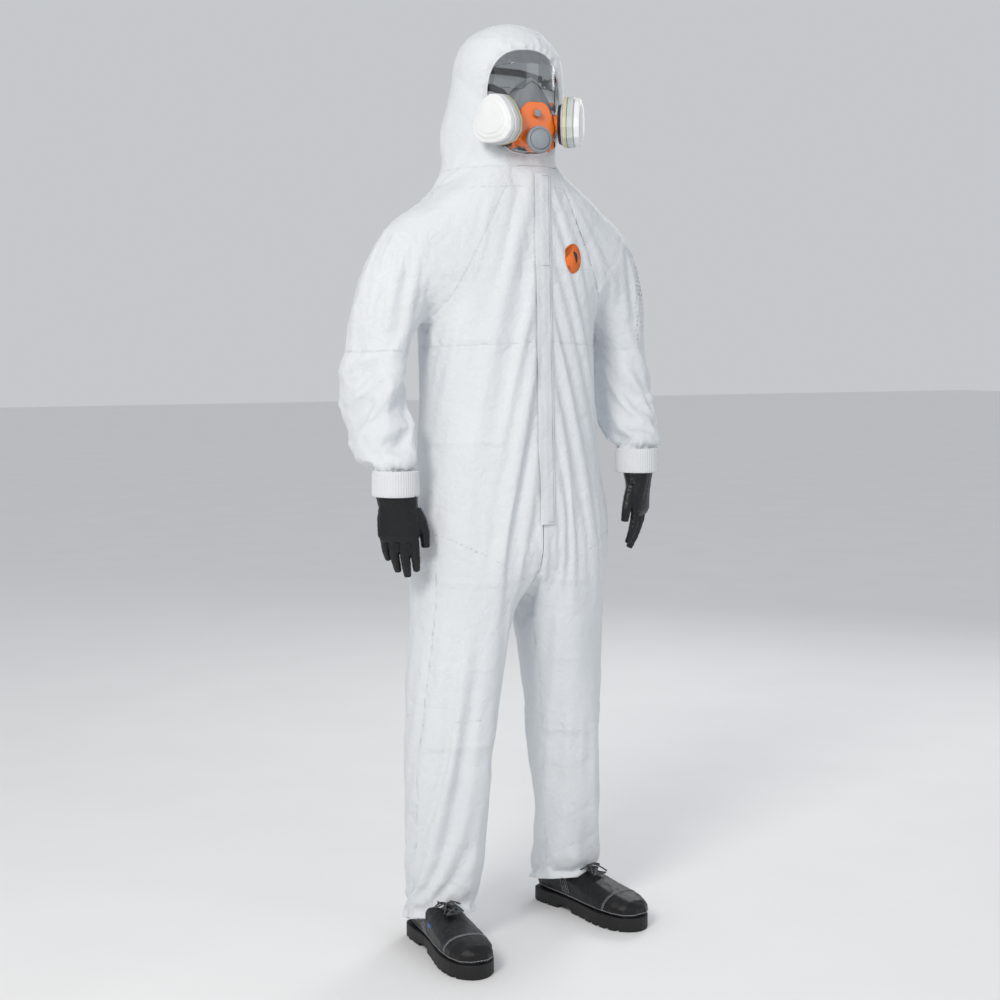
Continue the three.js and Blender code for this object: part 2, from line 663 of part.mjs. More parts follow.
// A rounded triangle standing on a cartridge's axis, drawn between two distances along it.
function triangleBar(sign, from, to, shrink) {
  const [width, height] = CARTRIDGE_SIZE.map((size) => size / 2 - shrink);
  const outline = new THREE.Shape();
  const points = Array.from({ length: 15 }, (_, i) => {
    const angle = (i / 15) * 2 * Math.PI;
    const reach = 1 + 0.085 * Math.cos(3 * (angle - Math.PI / 2));
    return new THREE.Vector2(width * reach * Math.cos(angle), height * reach * Math.sin(angle));
  });
  outline.setFromPoints(points);
  const bar = new THREE.ExtrudeGeometry(outline, { depth: to - from, bevelEnabled: false });
  const axis = vec(cartridgeAxis(sign));
  const across = new THREE.Vector3().crossVectors(UP, axis);
  const frame = new THREE.Matrix4().makeBasis(across, UP, axis);
  const start = vec([CARTRIDGE_AT[0] * sign, CARTRIDGE_AT[1], CARTRIDGE_AT[2]]);
  bar.applyMatrix4(frame.setPosition(start.addScaledVector(axis, from)));
  return solid(bar);
}

function cartridge(name, sign) {
  const canister = joined(
    portBar(sign, -10, 2, 15),
    portBar(sign, 0, 12, 38, 44),
    triangleBar(sign, 11, CARTRIDGE_DEPTH, 0),
    triangleBar(sign, CARTRIDGE_DEPTH - 1, CARTRIDGE_DEPTH + 5, 5),
  );
  addHead(`cartridge_${name}`, canister.subtract(portBar(sign, -12, 20, 11)), blackPlastic);
  const cap = joined(
    triangleBar(sign, CARTRIDGE_DEPTH + GAP, CARTRIDGE_DEPTH + 13, 2),
    triangleBar(sign, CARTRIDGE_DEPTH + 12, CARTRIDGE_DEPTH + 16, 12),
  );
  const inside = triangleBar(sign, CARTRIDGE_DEPTH - 2, CARTRIDGE_DEPTH + 5 + GAP, 5 - GAP);
  addHead(`filter_cap_${name}`, cap.subtract(inside), whitePlastic);
}

// A flat strip standing on edge along a route, its width rising along Z.
function strap(points, width, thickness) {
  const route = new THREE.CatmullRomCurve3(points.map(vec), false, "catmullrom");
  const steps = 14;
  const surface = (u, v, target) => {
    const row = Math.round(v * (steps + 2));
    const t = THREE.MathUtils.clamp((row - 1) / steps, 0, 1);
    const at = route.getPoint(t);
    if (row === 0 || row === steps + 2) return target.copy(at);
    const out = new THREE.Vector3().crossVectors(route.getTangent(t), UP).normalize();
    const corner = Math.round(u * 4) % 4;
    const [across, up] = [corner === 0 || corner === 3 ? 0.5 : -0.5, corner < 2 ? 0.5 : -0.5];
    return target.copy(at).addScaledVector(out, across * thickness).addScaledVector(UP, up * width);
  };
  return solid(new ParametricGeometry(surface, 4, steps + 2));
}
const mirroredRoute = (points) => [
  ...points.map(([x, y, z]) => [-x, y, z]),
  ...points.slice(0, -1).reverse(),
];

function maskStraps() {
  const head = [[47.4, -141, 1713], [47.8, -132, 1713], [64, -98, 1726], [82, -50, 1752], [92, 10, 1786], [66, 77, 1812], [0, 112.3, 1822]];
  const neck = [[47.4, -140, 1642], [47.4, -106, 1642], [59, -76, 1641], [74, -30, 1640], [76, 20, 1640], [52, 68, 1640], [0, 84, 1640]];
  addHead("mask_head_strap", strap(mirroredRoute(head), 15, 2), webbing);
  addHead("mask_neck_strap", strap(mirroredRoute(neck), 12, 2), webbing);
}

maskBody();
maskValves();
Object.entries(SIDES).forEach(([name, { sign }]) => cartridge(name, sign));
maskStraps();

// ---------------------------------------------------------------- safety spectacles

function spectacles() {
  const half = [[0, -136], [26, -133], [46, -122], [60, -105], [67, -88], [70, -77]];
  const outer = [...half.slice(1).reverse().map(([x, y]) => [-x, y]), ...half];
  const wall = (shift) =>
    new THREE.SplineCurve(outer.map(([x, y]) => new THREE.Vector2(x * (1 - shift / 76), y + shift)))
      .getPoints(22);
  const outline = new THREE.Shape([...wall(0), ...wall(2).reverse()]);
  const sheet = new THREE.ExtrudeGeometry(outline, { depth: LENS_HEIGHT, bevelEnabled: false });
  const lens = solid(sheet.translate(0, 0, LENS_BOTTOM));
  const corners = form(
    [-200, -60].map((y) => ({ at: [0, y, LENS_BOTTOM + LENS_HEIGHT / 2], half: [84, LENS_HEIGHT / 2], power: 3.4 })),
    { around: 24, second: UP },
  );
  addHead("spectacle_lens", lens.intersect(corners).subtract(facepiece(0.6)), clearPlastic);
  Object.entries(SIDES).forEach(([name, { sign }]) => {
    const at = [73 * sign, -76 + TEMPLE_LENGTH / 2, 1779];
    const hinge = rod([70.8 * sign, -76, 1779], [74.6 * sign, -76, 1779], 5.5, 5.5, 16);
    const bar = block([2.6, TEMPLE_LENGTH, 9], at, [0, 0, -2 * sign]);
    addHead(`spectacle_temple_${name}`, hinge.add(bar), orangePlastic);
  });
}
spectacles();

// ---------------------------------------------------------------- shoes

function shoe(name, { sign, heel, toeOut }) {
  const settle = (made) =>
    made.rotate([0, 0, toeOut]).translate([heel[0] * sign, heel[1], 0]);
  // Rings from heel to toe: distance from the heel, centre height, half width, half height.
  const rings = [
    [3, 58, 20, 22],
    [18, 62, 33, 40],
    [60, 62, 37, 49],
    [110, 60, 38, 50],
    [160, 52, 43, 42],
    [210, 47, 48, 34],
    [262, 43, 48, 29],
    [296, 40, 38, 24],
    [SHOE_LENGTH - 6, 38, 18, 14],
  ].map(([f, z, halfWidth, halfHeight]) => ({
    at: [0, -f, z],
    half: [halfWidth, halfHeight],
    power: 2.3,
  }));
  const last = (grow) => form(rings, { second: UP, heading: FRONT, around: 14, steps: 9, grow, reach: [grow, grow] });
  const aboveSole = beyond([0, 0, SOLE_HEIGHT], [0, 0, 1]);
  const mouth = form(
    [64, 150].map((z) => ({ at: [0, -56, z], half: [31, 44] })),
    { around: 14, heading: EARTH },
  );
  const upper = last(0).intersect(aboveSole).subtract(last(-3.5)).subtract(mouth);
  add(`shoe_upper_${name}`, settle(largest(upper)), leather);

  const side = [[0, 0], [28, 4], [39, 24], [40, 60], [37, 110], [42, 160], [51, 212], [52, 250], [44, 286], [24, 310]];
  const outline = new THREE.Shape(
    new THREE.SplineCurve(
      [...side, [0, SHOE_LENGTH], ...side.slice(1).reverse().map(([x, f]) => [-x, f]), [0, 0]].map(
        ([x, f]) => new THREE.Vector2(x, -f),
      ),
    ).getPoints(34).slice(0, -1),
  );
  const slab = solid(new THREE.ExtrudeGeometry(outline, { depth: SOLE_HEIGHT, bevelEnabled: false }));
  const grooves = [30, 55, 160, 185, 210, 235, 260, 285].map((f) => block([140, 6, 10], [0, -f, 0]));
  const arch = block([140, 44, 16], [0, -112, 0]);
  add(`shoe_sole_${name}`, settle(slab.subtract(joined(arch, ...grooves))), soleRubber);

  const rows = [114, 138, 162, 186];
  const height = (f) => 111 - (f - 112) * 0.24;
  const crossing = rows.slice(1).flatMap((f, i) =>
    [-1, 1].map((hand) =>
      rod([16 * hand, -rows[i], height(rows[i])], [-16 * hand, -f, height(f)], 2.6, 2.6, 5),
    ),
  );
  const straight = [rows[0], rows.at(-1)].map((f) =>
    rod([-18, -f, height(f)], [18, -f, height(f)], 2.6, 2.6, 5),
  );
  const cord = joined(...crossing, ...straight).subtract(last(0.35));
  add(`shoe_laces_${name}`, settle(largest(cord)), laceCord);
}
Object.entries(SIDES).forEach(([name, side]) => shoe(name, side));

// The origin is the middle of the overall box on the floor.
const middle = new THREE.Box3().setFromObject(group).getCenter(new THREE.Vector3());
group.position.set(-middle.x, -middle.y, 0);

export default group;
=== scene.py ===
"""Chemical protective suit: hooded coverall worn with a half mask, spectacles, gloves and shoes."""

import json
import math

import bmesh
import bpy
import numpy as np
from mathutils import Matrix, Vector, noise
from mathutils.bvhtree import BVHTree
from mathutils.kdtree import KDTree


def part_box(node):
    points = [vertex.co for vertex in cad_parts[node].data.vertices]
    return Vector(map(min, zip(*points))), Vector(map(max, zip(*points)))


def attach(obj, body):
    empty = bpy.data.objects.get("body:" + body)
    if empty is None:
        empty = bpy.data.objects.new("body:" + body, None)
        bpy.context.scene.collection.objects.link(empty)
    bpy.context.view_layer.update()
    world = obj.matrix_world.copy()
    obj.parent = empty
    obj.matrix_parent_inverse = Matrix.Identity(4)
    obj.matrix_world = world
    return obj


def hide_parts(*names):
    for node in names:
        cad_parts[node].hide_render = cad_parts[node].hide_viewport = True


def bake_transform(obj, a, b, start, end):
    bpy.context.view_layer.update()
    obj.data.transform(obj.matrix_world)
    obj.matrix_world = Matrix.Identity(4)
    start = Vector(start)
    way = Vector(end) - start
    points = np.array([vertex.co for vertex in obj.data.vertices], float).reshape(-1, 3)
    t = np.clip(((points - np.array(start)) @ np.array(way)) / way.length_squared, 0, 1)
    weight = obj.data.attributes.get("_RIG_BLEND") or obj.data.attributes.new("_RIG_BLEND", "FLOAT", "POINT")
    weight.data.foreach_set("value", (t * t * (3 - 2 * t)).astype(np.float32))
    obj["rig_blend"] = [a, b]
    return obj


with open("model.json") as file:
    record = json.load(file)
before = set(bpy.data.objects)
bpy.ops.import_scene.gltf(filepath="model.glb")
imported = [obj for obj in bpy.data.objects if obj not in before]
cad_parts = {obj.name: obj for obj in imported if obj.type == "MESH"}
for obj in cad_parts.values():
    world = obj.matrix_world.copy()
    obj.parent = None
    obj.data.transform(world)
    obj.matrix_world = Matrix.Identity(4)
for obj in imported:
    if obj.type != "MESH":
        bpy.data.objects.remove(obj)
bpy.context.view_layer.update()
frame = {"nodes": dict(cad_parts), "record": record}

record = frame["record"]
joints = {j["name"]: j for j in record["behaviour"]["joints"]}
SIDES = {"right": -1, "left": 1}

# ---------------------------------------------------------------- places taken from the CAD frame

head_pivot = Vector(joints["head_turn"]["pos_m"])
head_turn = math.radians(-8)  # the hood and mask look a little to the wearer's right
to_head = Matrix.Rotation(-head_turn, 4, "Z") @ Matrix.Translation(-Vector((0, head_pivot.y, 0)))
from_head = to_head.inverted()
neck_join = head_pivot.z
collar_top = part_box("neck_fold")[0][2]
waist_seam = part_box("back_panel")[0][2]
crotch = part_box("lower_panel_right")[0][2]
zip_x = sum(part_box("zip_slider")[i][0] for i in (0, 1)) / 2


def span(node, axis):
    low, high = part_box(node)
    return low[axis], high[axis]


# ---------------------------------------------------------------- camera

def set_camera():
    lens_data = bpy.data.cameras.new("camera")
    camera = bpy.data.objects.new("camera", lens_data)
    bpy.context.scene.collection.objects.link(camera)
    bpy.context.scene.camera = camera
    distance, height = 3.6, 1.25
    azimuth, pitch = math.radians(-29), math.radians(5.28)
    camera.location = (
        math.sin(azimuth) * distance,
        head_pivot.y - math.cos(azimuth) * distance,
        height,
    )
    camera.rotation_euler = (math.radians(90) - pitch, 0, azimuth)
    lens_data.sensor_width = 36
    lens_data.lens = 61.8
    lens_data.shift_x = -0.008


set_camera()


# ---------------------------------------------------------------- mesh helpers

def link(mesh, name):
    made = bpy.data.objects.new(name, mesh)
    bpy.context.scene.collection.objects.link(made)
    return made


def from_bmesh(bm, name):
    mesh = bpy.data.meshes.new(name)
    bm.to_mesh(mesh)
    bm.free()
    return link(mesh, name)


def node_mesh(name):
    """A merged copy of a CAD node, as a bmesh in the row frame."""
    node = frame["nodes"][name]
    bm = bmesh.new()
    bm.from_mesh(node.data)
    bm.transform(node.matrix_world)
    bmesh.ops.remove_doubles(bm, verts=bm.verts, dist=1e-5)
    return bm


def apply_modifiers(obj):
    depsgraph = bpy.context.evaluated_depsgraph_get()
    mesh = bpy.data.meshes.new_from_object(obj.evaluated_get(depsgraph))
    obj.modifiers.clear()
    old = obj.data
    obj.data = mesh
    bpy.data.meshes.remove(old)
    return obj


def add_skin(obj, voxel):
    """A modifier that wraps a shape in one even skin."""
    remesh = obj.modifiers.new("skin", "REMESH")
    remesh.mode, remesh.voxel_size = "VOXEL", voxel


def add_easing(obj, times):
    """A modifier that rounds a shape's edges off."""
    ease = obj.modifiers.new("ease", "SMOOTH")
    ease.factor, ease.iterations = 0.5, times


def edges_in(geometry):
    return [g for g in geometry if isinstance(g, bmesh.types.BMEdge)]


def verts_in(geometry):
    return [g for g in geometry if isinstance(g, bmesh.types.BMVert)]


def keep_faces(shape, kept):
    """Deletes every face of a shape but the given ones."""
    kept = set(kept)
    bmesh.ops.delete(shape, geom=[f for f in shape.faces if f not in kept], context="FACES")


def coordinates(mesh):
    flat = np.empty(len(mesh.vertices) * 3)
    mesh.vertices.foreach_get("co", flat)
    return flat.reshape(-1, 3)


def set_coordinates(mesh, points):
    mesh.vertices.foreach_set("co", np.ascontiguousarray(points, dtype=np.float32).ravel())
    mesh.update()


def ramp(value, low, high):
    t = np.clip((value - low) / (high - low), 0, 1)
    return t * t * (3 - 2 * t)


# ---------------------------------------------------------------- the coverall's base form

FARTHEST = 0.034  # how far a point of the cloth may settle
FABRIC_GRID = 0.0095  # edge length of the draped mesh
TORSO_NODES = (
    "chest_panel_right", "chest_panel_left", "back_panel", "lower_panel_right", "lower_panel_left",
)
SLEEVE_NODES = ("shoulder_fold", "sleeve_upper", "elbow_fold", "sleeve_lower")
LEG_NODES = ("hip_fold", "leg_upper", "knee_fold", "leg_lower")
armpit = 1.30
CUFF_HALF = (0.0475, 0.0355)  # half widths of a sleeve's end, across and forward
PAST_LEG = 0.228  # farther out than this, cuff-high cloth is sleeve and not leg
HEM_LEAN = math.radians(11)  # the hems slope down to the heel
HEM_DROP = {"right": 0.044, "left": 0.030}  # how far each trouser end is lengthened
FACE_POWER = 2.6  # how square the face opening's oval is


def slab_hulls(target, names, step, ease=None):
    """Adds the convex outline of each level slice of some CAD nodes to target."""
    source = bmesh.new()
    for name in names:
        bm = node_mesh(name)
        mesh = bpy.data.meshes.new("slice")
        bm.to_mesh(mesh)
        bm.free()
        source.from_mesh(mesh)
        bpy.data.meshes.remove(mesh)
    for v in source.verts if ease else ():
        v.co.x = ease(v.co)
    low = min(v.co.z for v in source.verts)
    high = max(v.co.z for v in source.verts)
    count = max(1, round((high - low) / step))
    for i in range(count):
        z0, z1 = (low + (high - low) * k / count for k in (i, i + 1))
        part = source.copy()
        for z, below in ((z0, True), (z1, False)):
            bmesh.ops.bisect_plane(
                part,
                geom=part.verts[:] + part.edges[:] + part.faces[:],
                plane_co=(0, 0, z),
                plane_no=(0, 0, 1),
                clear_inner=below,
                clear_outer=not below,
            )
        if len(part.verts) > 3:
            hull = bmesh.ops.convex_hull(part, input=part.verts)
            keep_faces(part, (g for g in hull["geom"] if isinstance(g, bmesh.types.BMFace)))
            loose = [v for v in part.verts if not v.link_faces]
            bmesh.ops.delete(part, geom=loose, context="VERTS")
            mesh = bpy.data.meshes.new("slice")
            part.to_mesh(mesh)
            target.from_mesh(mesh)
            bpy.data.meshes.remove(mesh)
        part.free()
    source.free()


def slim_side(co):
    """Draws the body's sides in below the armpit, so that a sleeve hangs clear of them."""
    under_arm = ramp(armpit + 0.02 - co.z, 0, 0.02) * ramp(co.z, 0.93, 0.99)
    return co.x * (1 - 0.075 * float(under_arm))


def slim_sleeve(co):
    """Moves a sleeve's inner side outwards below the armpit."""
    inner = float(ramp(0.30 - abs(co.x), 0, 0.08) * ramp(armpit + 0.02 - co.z, 0, 0.02))
    return co.x + math.copysign(0.011 * inner, co.x)


def base_form():
    """One closed skin round the whole coverall, hood included."""
    bm = bmesh.new()
    slab_hulls(bm, TORSO_NODES, 0.03, slim_side)
    slab_hulls(bm, ["neck_fold"], 0.02)
    slab_hulls(bm, ["hood_right", "hood_centre", "hood_left", "face_elastic"], 0.024)
    for side in SIDES:
        slab_hulls(bm, [f"{n}_{side}" for n in SLEEVE_NODES], 0.026, slim_sleeve)
        slab_hulls(bm, [f"{n}_{side}" for n in LEG_NODES], 0.036)
    form = from_bmesh(bm, "base_form")
    add_skin(form, FABRIC_GRID)
    apply_modifiers(form)
    add_easing(form, 9)
    apply_modifiers(form)
    hang_hood(form)
    return form


def in_head(points):
    """Points in the head's own directions, as rows of across, forward and up."""
    return np.array(to_head.to_3x3()) @ points.T + np.array(to_head.translation)[:, None]


def hang_hood(form):
    """The hood falls straight from the back of the head to the shoulders and closes in under the chin."""
    points = coordinates(form.data)
    across, forward, _ = in_head(points)
    z = points[:, 2]
    level = ramp(z, 1.52, neck_join) * ramp(1.79 - z, 0, 0.15) * (np.abs(points[:, 0]) < 0.17)
    back = ramp(forward, -0.05, 0.09)
    right = ramp(-across, 0.0, 0.09)
    away = np.stack([across, forward - 0.01], axis=1)
    away /= np.maximum(np.linalg.norm(away, axis=1), 1e-6)[:, None]
    flare = level * (0.020 * back + 0.018 * back * right + 0.010 * right)
    points[:, 0] += away[:, 0] * flare
    points[:, 1] += away[:, 1] * flare
    under_jaw = ramp(z, 1.545, neck_join) * ramp(1.70 - z, 0, 0.07)
    under_jaw *= ramp(points[:, 0], 0.03, 0.11) * (z < 1.71)
    points[:, 0] -= 0.024 * under_jaw
    set_coordinates(form.data, points)


def face_outline(x, z, grow=0.0):
    """Below 1 inside the face opening, in head coordinates."""
    low, high = opening
    centre = (low + high) / 2
    half = np.array([opening_half_width + grow, (high - low) / 2 + grow])
    return np.abs(x / half[0]) ** FACE_POWER + np.abs((z - centre) / half[1]) ** FACE_POWER


low_edge, high_edge = span("face_elastic", 2)
opening = (low_edge + 0.004, high_edge - 0.003)
opening_half_width = 0.079


def cut_openings(form):
    """Opens the hood at the face, the sleeves at the cuffs and the legs at the hems."""
    bm = bmesh.new()
    bm.from_mesh(form.data)
    for side, sign in SIDES.items():
        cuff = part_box(f"knit_cuff_{side}")[1][2]
        centres = [(f, f.calc_center_median()) for f in bm.faces]
        wrist = [f for f, c in centres if c.x * sign > PAST_LEG and cuff - 0.1 < c.z < cuff + 0.08]
        cut(bm, wrist, (0, 0, cuff + 0.006), (0, 0, 1))
        low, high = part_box(f"leg_lower_{side}")
        centres = [(f, f.calc_center_median()) for f in bm.faces]
        foot = [f for f, c in centres if c.x * sign > 0 and c.z < 0.3]
        hem_middle = ((low[0] + high[0]) / 2, (low[1] + high[1]) / 2, low[2] + 0.030)
        cut(bm, foot, hem_middle, (0, math.sin(HEM_LEAN), math.cos(HEM_LEAN)))
    inside = []
    for f in bm.faces:
        c = to_head @ f.calc_center_median()
        if c.y < -0.03 and face_outline(c.x, c.z) < 1:
            inside.append(f)
    bmesh.ops.delete(bm, geom=inside, context="FACES")
    for v in bm.verts:
        if v.is_boundary and v.co.z > neck_join:
            c = to_head @ v.co
            reach = face_outline(c.x, c.z) ** (1 / FACE_POWER)
            middle = (opening[0] + opening[1]) / 2
            v.co = from_head @ Vector((c.x / reach, c.y, middle + (c.z - middle) / reach))
    for v in bm.verts:
        drop = HEM_DROP["right" if v.co.x < 0 else "left"]
        v.co.z -= drop * float(ramp(0.34 - v.co.z, 0, 0.2))
    for side, sign in SIDES.items():
        low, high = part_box(f"knit_cuff_{side}")
        middle = Vector(((low.x + high.x) / 2, (low.y + high.y) / 2, high.z + 0.006))
        half = Vector(CUFF_HALF)
        for v in bm.verts:
            if v.co.x * sign > PAST_LEG and middle.z - 0.02 < v.co.z < middle.z + 0.035:
                flat = v.co - middle
                reach = math.hypot(flat.x / half.x, flat.y / half.y)
                pull = 1 - float(ramp(v.co.z - middle.z, 0, 0.035))
                v.co.x = middle.x + flat.x * (1 + (1 / reach - 1) * pull)
                v.co.y = middle.y + flat.y * (1 + (1 / reach - 1) * pull)
    bm.to_mesh(form.data)
    bm.free()


def cut(bm, faces, at, normal):
    """Removes what lies below a plane, among some faces only."""
    geom = {g for f in faces for g in (f, *f.edges, *f.verts)}
    done = bmesh.ops.bisect_plane(bm, geom=list(geom), plane_co=at, plane_no=normal)
    below = [
        f
        for f in {*faces, *(g for g in done["geom"] if isinstance(g, bmesh.types.BMFace))}
        if f.is_valid and (f.calc_center_median() - Vector(at)).dot(Vector(normal)) < 0
    ]
    bmesh.ops.delete(bm, geom=below, context="FACES")


# ---------------------------------------------------------------- draping

def drape(form):
    """Lets the skin grow and settle over a slimmer hidden form, as a loose coverall hangs."""
    points = coordinates(form.data)
    x, y, z = points.T
    away = np.abs(x)
    arm_from = np.interp(z, [0.9, 1.3, 1.45, 1.5], [0.215, 0.2, 0.24, 0.3])
    arm = ramp(away - arm_from, 0, 0.03) * (z > 0.9) * (z < 1.52)
    leg = ramp(crotch + 0.05 - z, 0, 0.12)
    hood = ramp(z, neck_join - 0.02, neck_join + 0.03)
    torso = np.clip(1 - arm - leg - hood, 0, 1)
    gap = 0.012 * torso + 0.024 * arm + 0.02 * leg + 0.003 * hood

    body = form.copy()
    body.data = form.data.copy()
    bpy.context.scene.collection.objects.link(body)
    normals = np.empty(len(points) * 3)
    body.data.vertices.foreach_get("normal", normals)
    set_coordinates(body.data, points - normals.reshape(-1, 3) * gap[:, None])
    body.modifiers.new("collider", "COLLISION")
    body.collision.thickness_outer = 0.002
    body.collision.cloth_friction = 12

    near_hem = 0.25 + 0.75 * ramp(z, 0.13, 0.42)  # the hems hang open and straight
    growth = 0.14 * torso + 1.0 * arm + 0.42 * leg * near_hem + 0.3 * hood
    bump = np.array([noise.noise(Vector(p) * 9) for p in points])
    growth = np.clip(growth * (1 + 0.35 * bump), 0, 1)
    boundary = boundary_vertices(form.data)
    pin = np.zeros(len(points))
    pin[boundary] = 1
    front = (y < np.interp(z, [0.85, 1.6], [-0.06, -0.03])) & (np.abs(x - zip_x) < 0.022)
    front &= (z > 0.86) & (z < neck_join)
    pin[front] = 1
    for name, values in (("pin", pin), ("growth", growth)):
        group = form.vertex_groups.new(name=name)
        for level in range(1, 21):
            chosen = np.nonzero(np.round(values * 20) == level)[0]
            if len(chosen):
                group.add(chosen.tolist(), level / 20, "REPLACE")

    cloth = form.modifiers.new("drape", "CLOTH")
    settings = cloth.settings
    settings.quality = 5
    settings.mass = 0.25
    settings.tension_stiffness = settings.compression_stiffness = 30
    settings.shear_stiffness = 18
    settings.bending_stiffness = 3.5
    settings.air_damping = 2
    settings.vertex_group_mass = "pin"
    settings.pin_stiffness = 5
    settings.vertex_group_shrink = "growth"
    settings.shrink_min = 0
    settings.shrink_max = -0.13
    collisions = cloth.collision_settings
    collisions.use_self_collision = False
    collisions.distance_min = 0.003
    collisions.collision_quality = 2
    frames = 26
    cloth.point_cache.frame_start = 1
    cloth.point_cache.frame_end = frames
    for step in range(1, frames + 1):
        bpy.context.scene.frame_set(step)
    apply_modifiers(form)
    bpy.context.scene.frame_set(1)
    moved = coordinates(form.data) - points
    length = np.linalg.norm(moved, axis=1)
    moved *= (np.minimum(length, FARTHEST) / np.maximum(length, 1e-9))[:, None]
    set_coordinates(form.data, points + moved)
    bpy.data.objects.remove(body)
    form.vertex_groups.clear()


def boundary_vertices(mesh):
    bm = bmesh.new()
    bm.from_mesh(mesh)
    found = [v.index for v in bm.verts if v.is_boundary]
    bm.free()
    return found


# ---------------------------------------------------------------- seams and pieces

RAGLAN_TOP = (0.072, 1.56)
RAGLAN_FOOT = (0.206, 1.297)
raglan_slope = (RAGLAN_FOOT[0] - RAGLAN_TOP[0]) / (RAGLAN_TOP[1] - RAGLAN_FOOT[1])
SIDE_GAP = 0.218  # how far out a level lies between the body's side and the sleeves
HOOD_STRIP = 0.038  # half the width of the hood's middle strip
ELBOW_RISE = 0.0475  # how far above its pivot the forearm's cloth begins
KNEE_RISE = 0.079  # how far above its pivot the shin's cloth begins
HIP_TOP = Vector((0, 0, crotch - 0.002))
HIP_SLOPE = Vector((0.5, 0, -0.866))  # across the line where a leg's cloth begins
pivot = {name: Vector(j["pos_m"]) for name, j in joints.items() if j.get("pos_m")}
flap_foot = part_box("storm_flap")[0][2]


def raglan_x(z):
    return RAGLAN_TOP[0] + (RAGLAN_TOP[1] - z) * raglan_slope


def is_sleeve(co):
    if co.z < armpit:
        return co.z > 0.97 and abs(co.x) > (SIDE_GAP if co.z < 1.24 else RAGLAN_FOOT[0])
    return co.z < RAGLAN_TOP[1] and abs(co.x) > raglan_x(co.z)


def is_leg(co):
    return HIP_SLOPE.x * abs(co.x) + HIP_SLOPE.z * (co.z - HIP_TOP.z) > 0


def piece_of(co):
    side = "left" if co.x > 0 else "right"
    if co.z > neck_join:
        return "hood_cloth"
    if is_sleeve(co):
        part = "sleeve" if co.z > pivot[f"elbow_{side}"].z + ELBOW_RISE else "forearm"
        return f"{part}_cloth_{side}"
    if is_leg(co):
        part = "thigh" if co.z > pivot[f"knee_{side}"].z + KNEE_RISE else "shin"
        return f"{part}_cloth_{side}"
    return "body_cloth"


def cut_line(bm, at, normal, where, seam=True):
    """Cuts an edge line where a plane crosses some faces, and marks it as sewn."""
    faces = [f for f in bm.faces if where(f.calc_center_median())]
    geom = {g for f in faces for g in (f, *f.edges, *f.verts)}
    done = bmesh.ops.bisect_plane(
        bm, geom=list(geom), dist=0.0012, plane_co=at, plane_no=Vector(normal).normalized()
    )
    if seam:
        for g in edges_in(done["geom_cut"]):
            g.seam = True


def sew_lines(bm):
    """The coverall's seams, and the unsewn lines where one moving piece ends."""
    def below_hood(c):
        return c.z < neck_join and not is_sleeve(c)

    for side, sign in SIDES.items():
        cut_line(
            bm,
            (RAGLAN_TOP[0] * sign, 0, RAGLAN_TOP[1]),
            (sign, 0, raglan_slope),
            lambda c: c.x * sign > 0 and armpit - 0.012 < c.z < neck_join,
        )
        lift = ELBOW_RISE + pivot[f"elbow_{side}"].z
        cut_line(bm, (0, 0, lift), (0, 0, 1), lambda c: c.x * sign > 0.21, seam=False)
        knee = pivot[f"knee_{side}"].z + KNEE_RISE
        cut_line(
            bm, (0, 0, knee), (0, 0, 1), lambda c: c.x * sign > 0 and c.z < crotch, seam=False
        )
        cut_line(
            bm,
            HIP_TOP,
            (HIP_SLOPE.x * sign, 0, HIP_SLOPE.z),
            lambda c: c.x * sign > 0 and below_hood(c) and c.z < 1.0,
            seam=False,
        )
        low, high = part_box(f"leg_lower_{side}")
        top, foot = Vector((0, 0.004, crotch)), Vector((0, (low.y + high.y) / 2, low.z))
        run = foot - top
        cut_line(
            bm,
            top,
            (0, run.z, -run.y),
            lambda c: c.x * sign > 0 and c.z < crotch + 0.1 and is_leg(c),
        )
        cut_line(
            bm,
            (sign * 0.28, pivot[f"elbow_{side}"].y, 1.1),
            (0, 1, 0.08),
            lambda c: c.x * sign > 0.21 and c.x * sign < 0.30 and c.z < armpit - 0.02,
        )
        across = from_head.to_3x3() @ Vector((1, 0, 0))
        cut_line(
            bm,
            from_head @ Vector((HOOD_STRIP * sign, 0, 0)),
            across,
            lambda c: c.z > neck_join and ((to_head @ c).y > 0.02 or c.z > opening[1] - 0.02),
        )
    cut_line(
        bm,
        (0, 0, RAGLAN_TOP[1]),
        (0, 0, 1),
        lambda c: abs(c.x) > 0.03 and abs(c.z - RAGLAN_TOP[1]) < 0.02,
        seam=False,
    )
    cut_line(bm, (0, 0, neck_join), (0, 0, 1), lambda c: abs(c.x) < 0.16)
    cut_line(bm, (0, 0, waist_seam), (0, 0, 1), lambda c: abs(c.x) < RAGLAN_FOOT[0])
    cut_line(bm, (0, 0, 0), (1, 0, 0), lambda c: below_hood(c) and c.y > 0 and c.z > crotch - 0.03)
    cut_line(bm, (0, 0, 0), (1, 0, 0), lambda c: c.y <= 0 and crotch - 0.03 < c.z < flap_foot)


def chains(edges):
    """Sorts edges into runs of points; a closed run repeats nothing and is marked."""
    near = {}
    for e in edges:
        for v in e.verts:
            near.setdefault(v, []).append(e)
    left, runs = set(edges), []
    starts = [v for v in near if len(near[v]) != 2] + list(near)
    for start in starts:
        for first in near[start]:
            if first not in left:
                continue
            run, e, v = [start], first, start
            while e in left:
                left.discard(e)
                v = e.other_vert(v)
                run.append(v)
                nexts = [n for n in near[v] if n in left]
                if len(near[v]) != 2 or not nexts:
                    break
                e = nexts[0]
            closed = run[0] is run[-1] and len(run) > 3
            runs.append(([w.co.copy() for w in (run[:-1] if closed else run)], closed))
    return runs


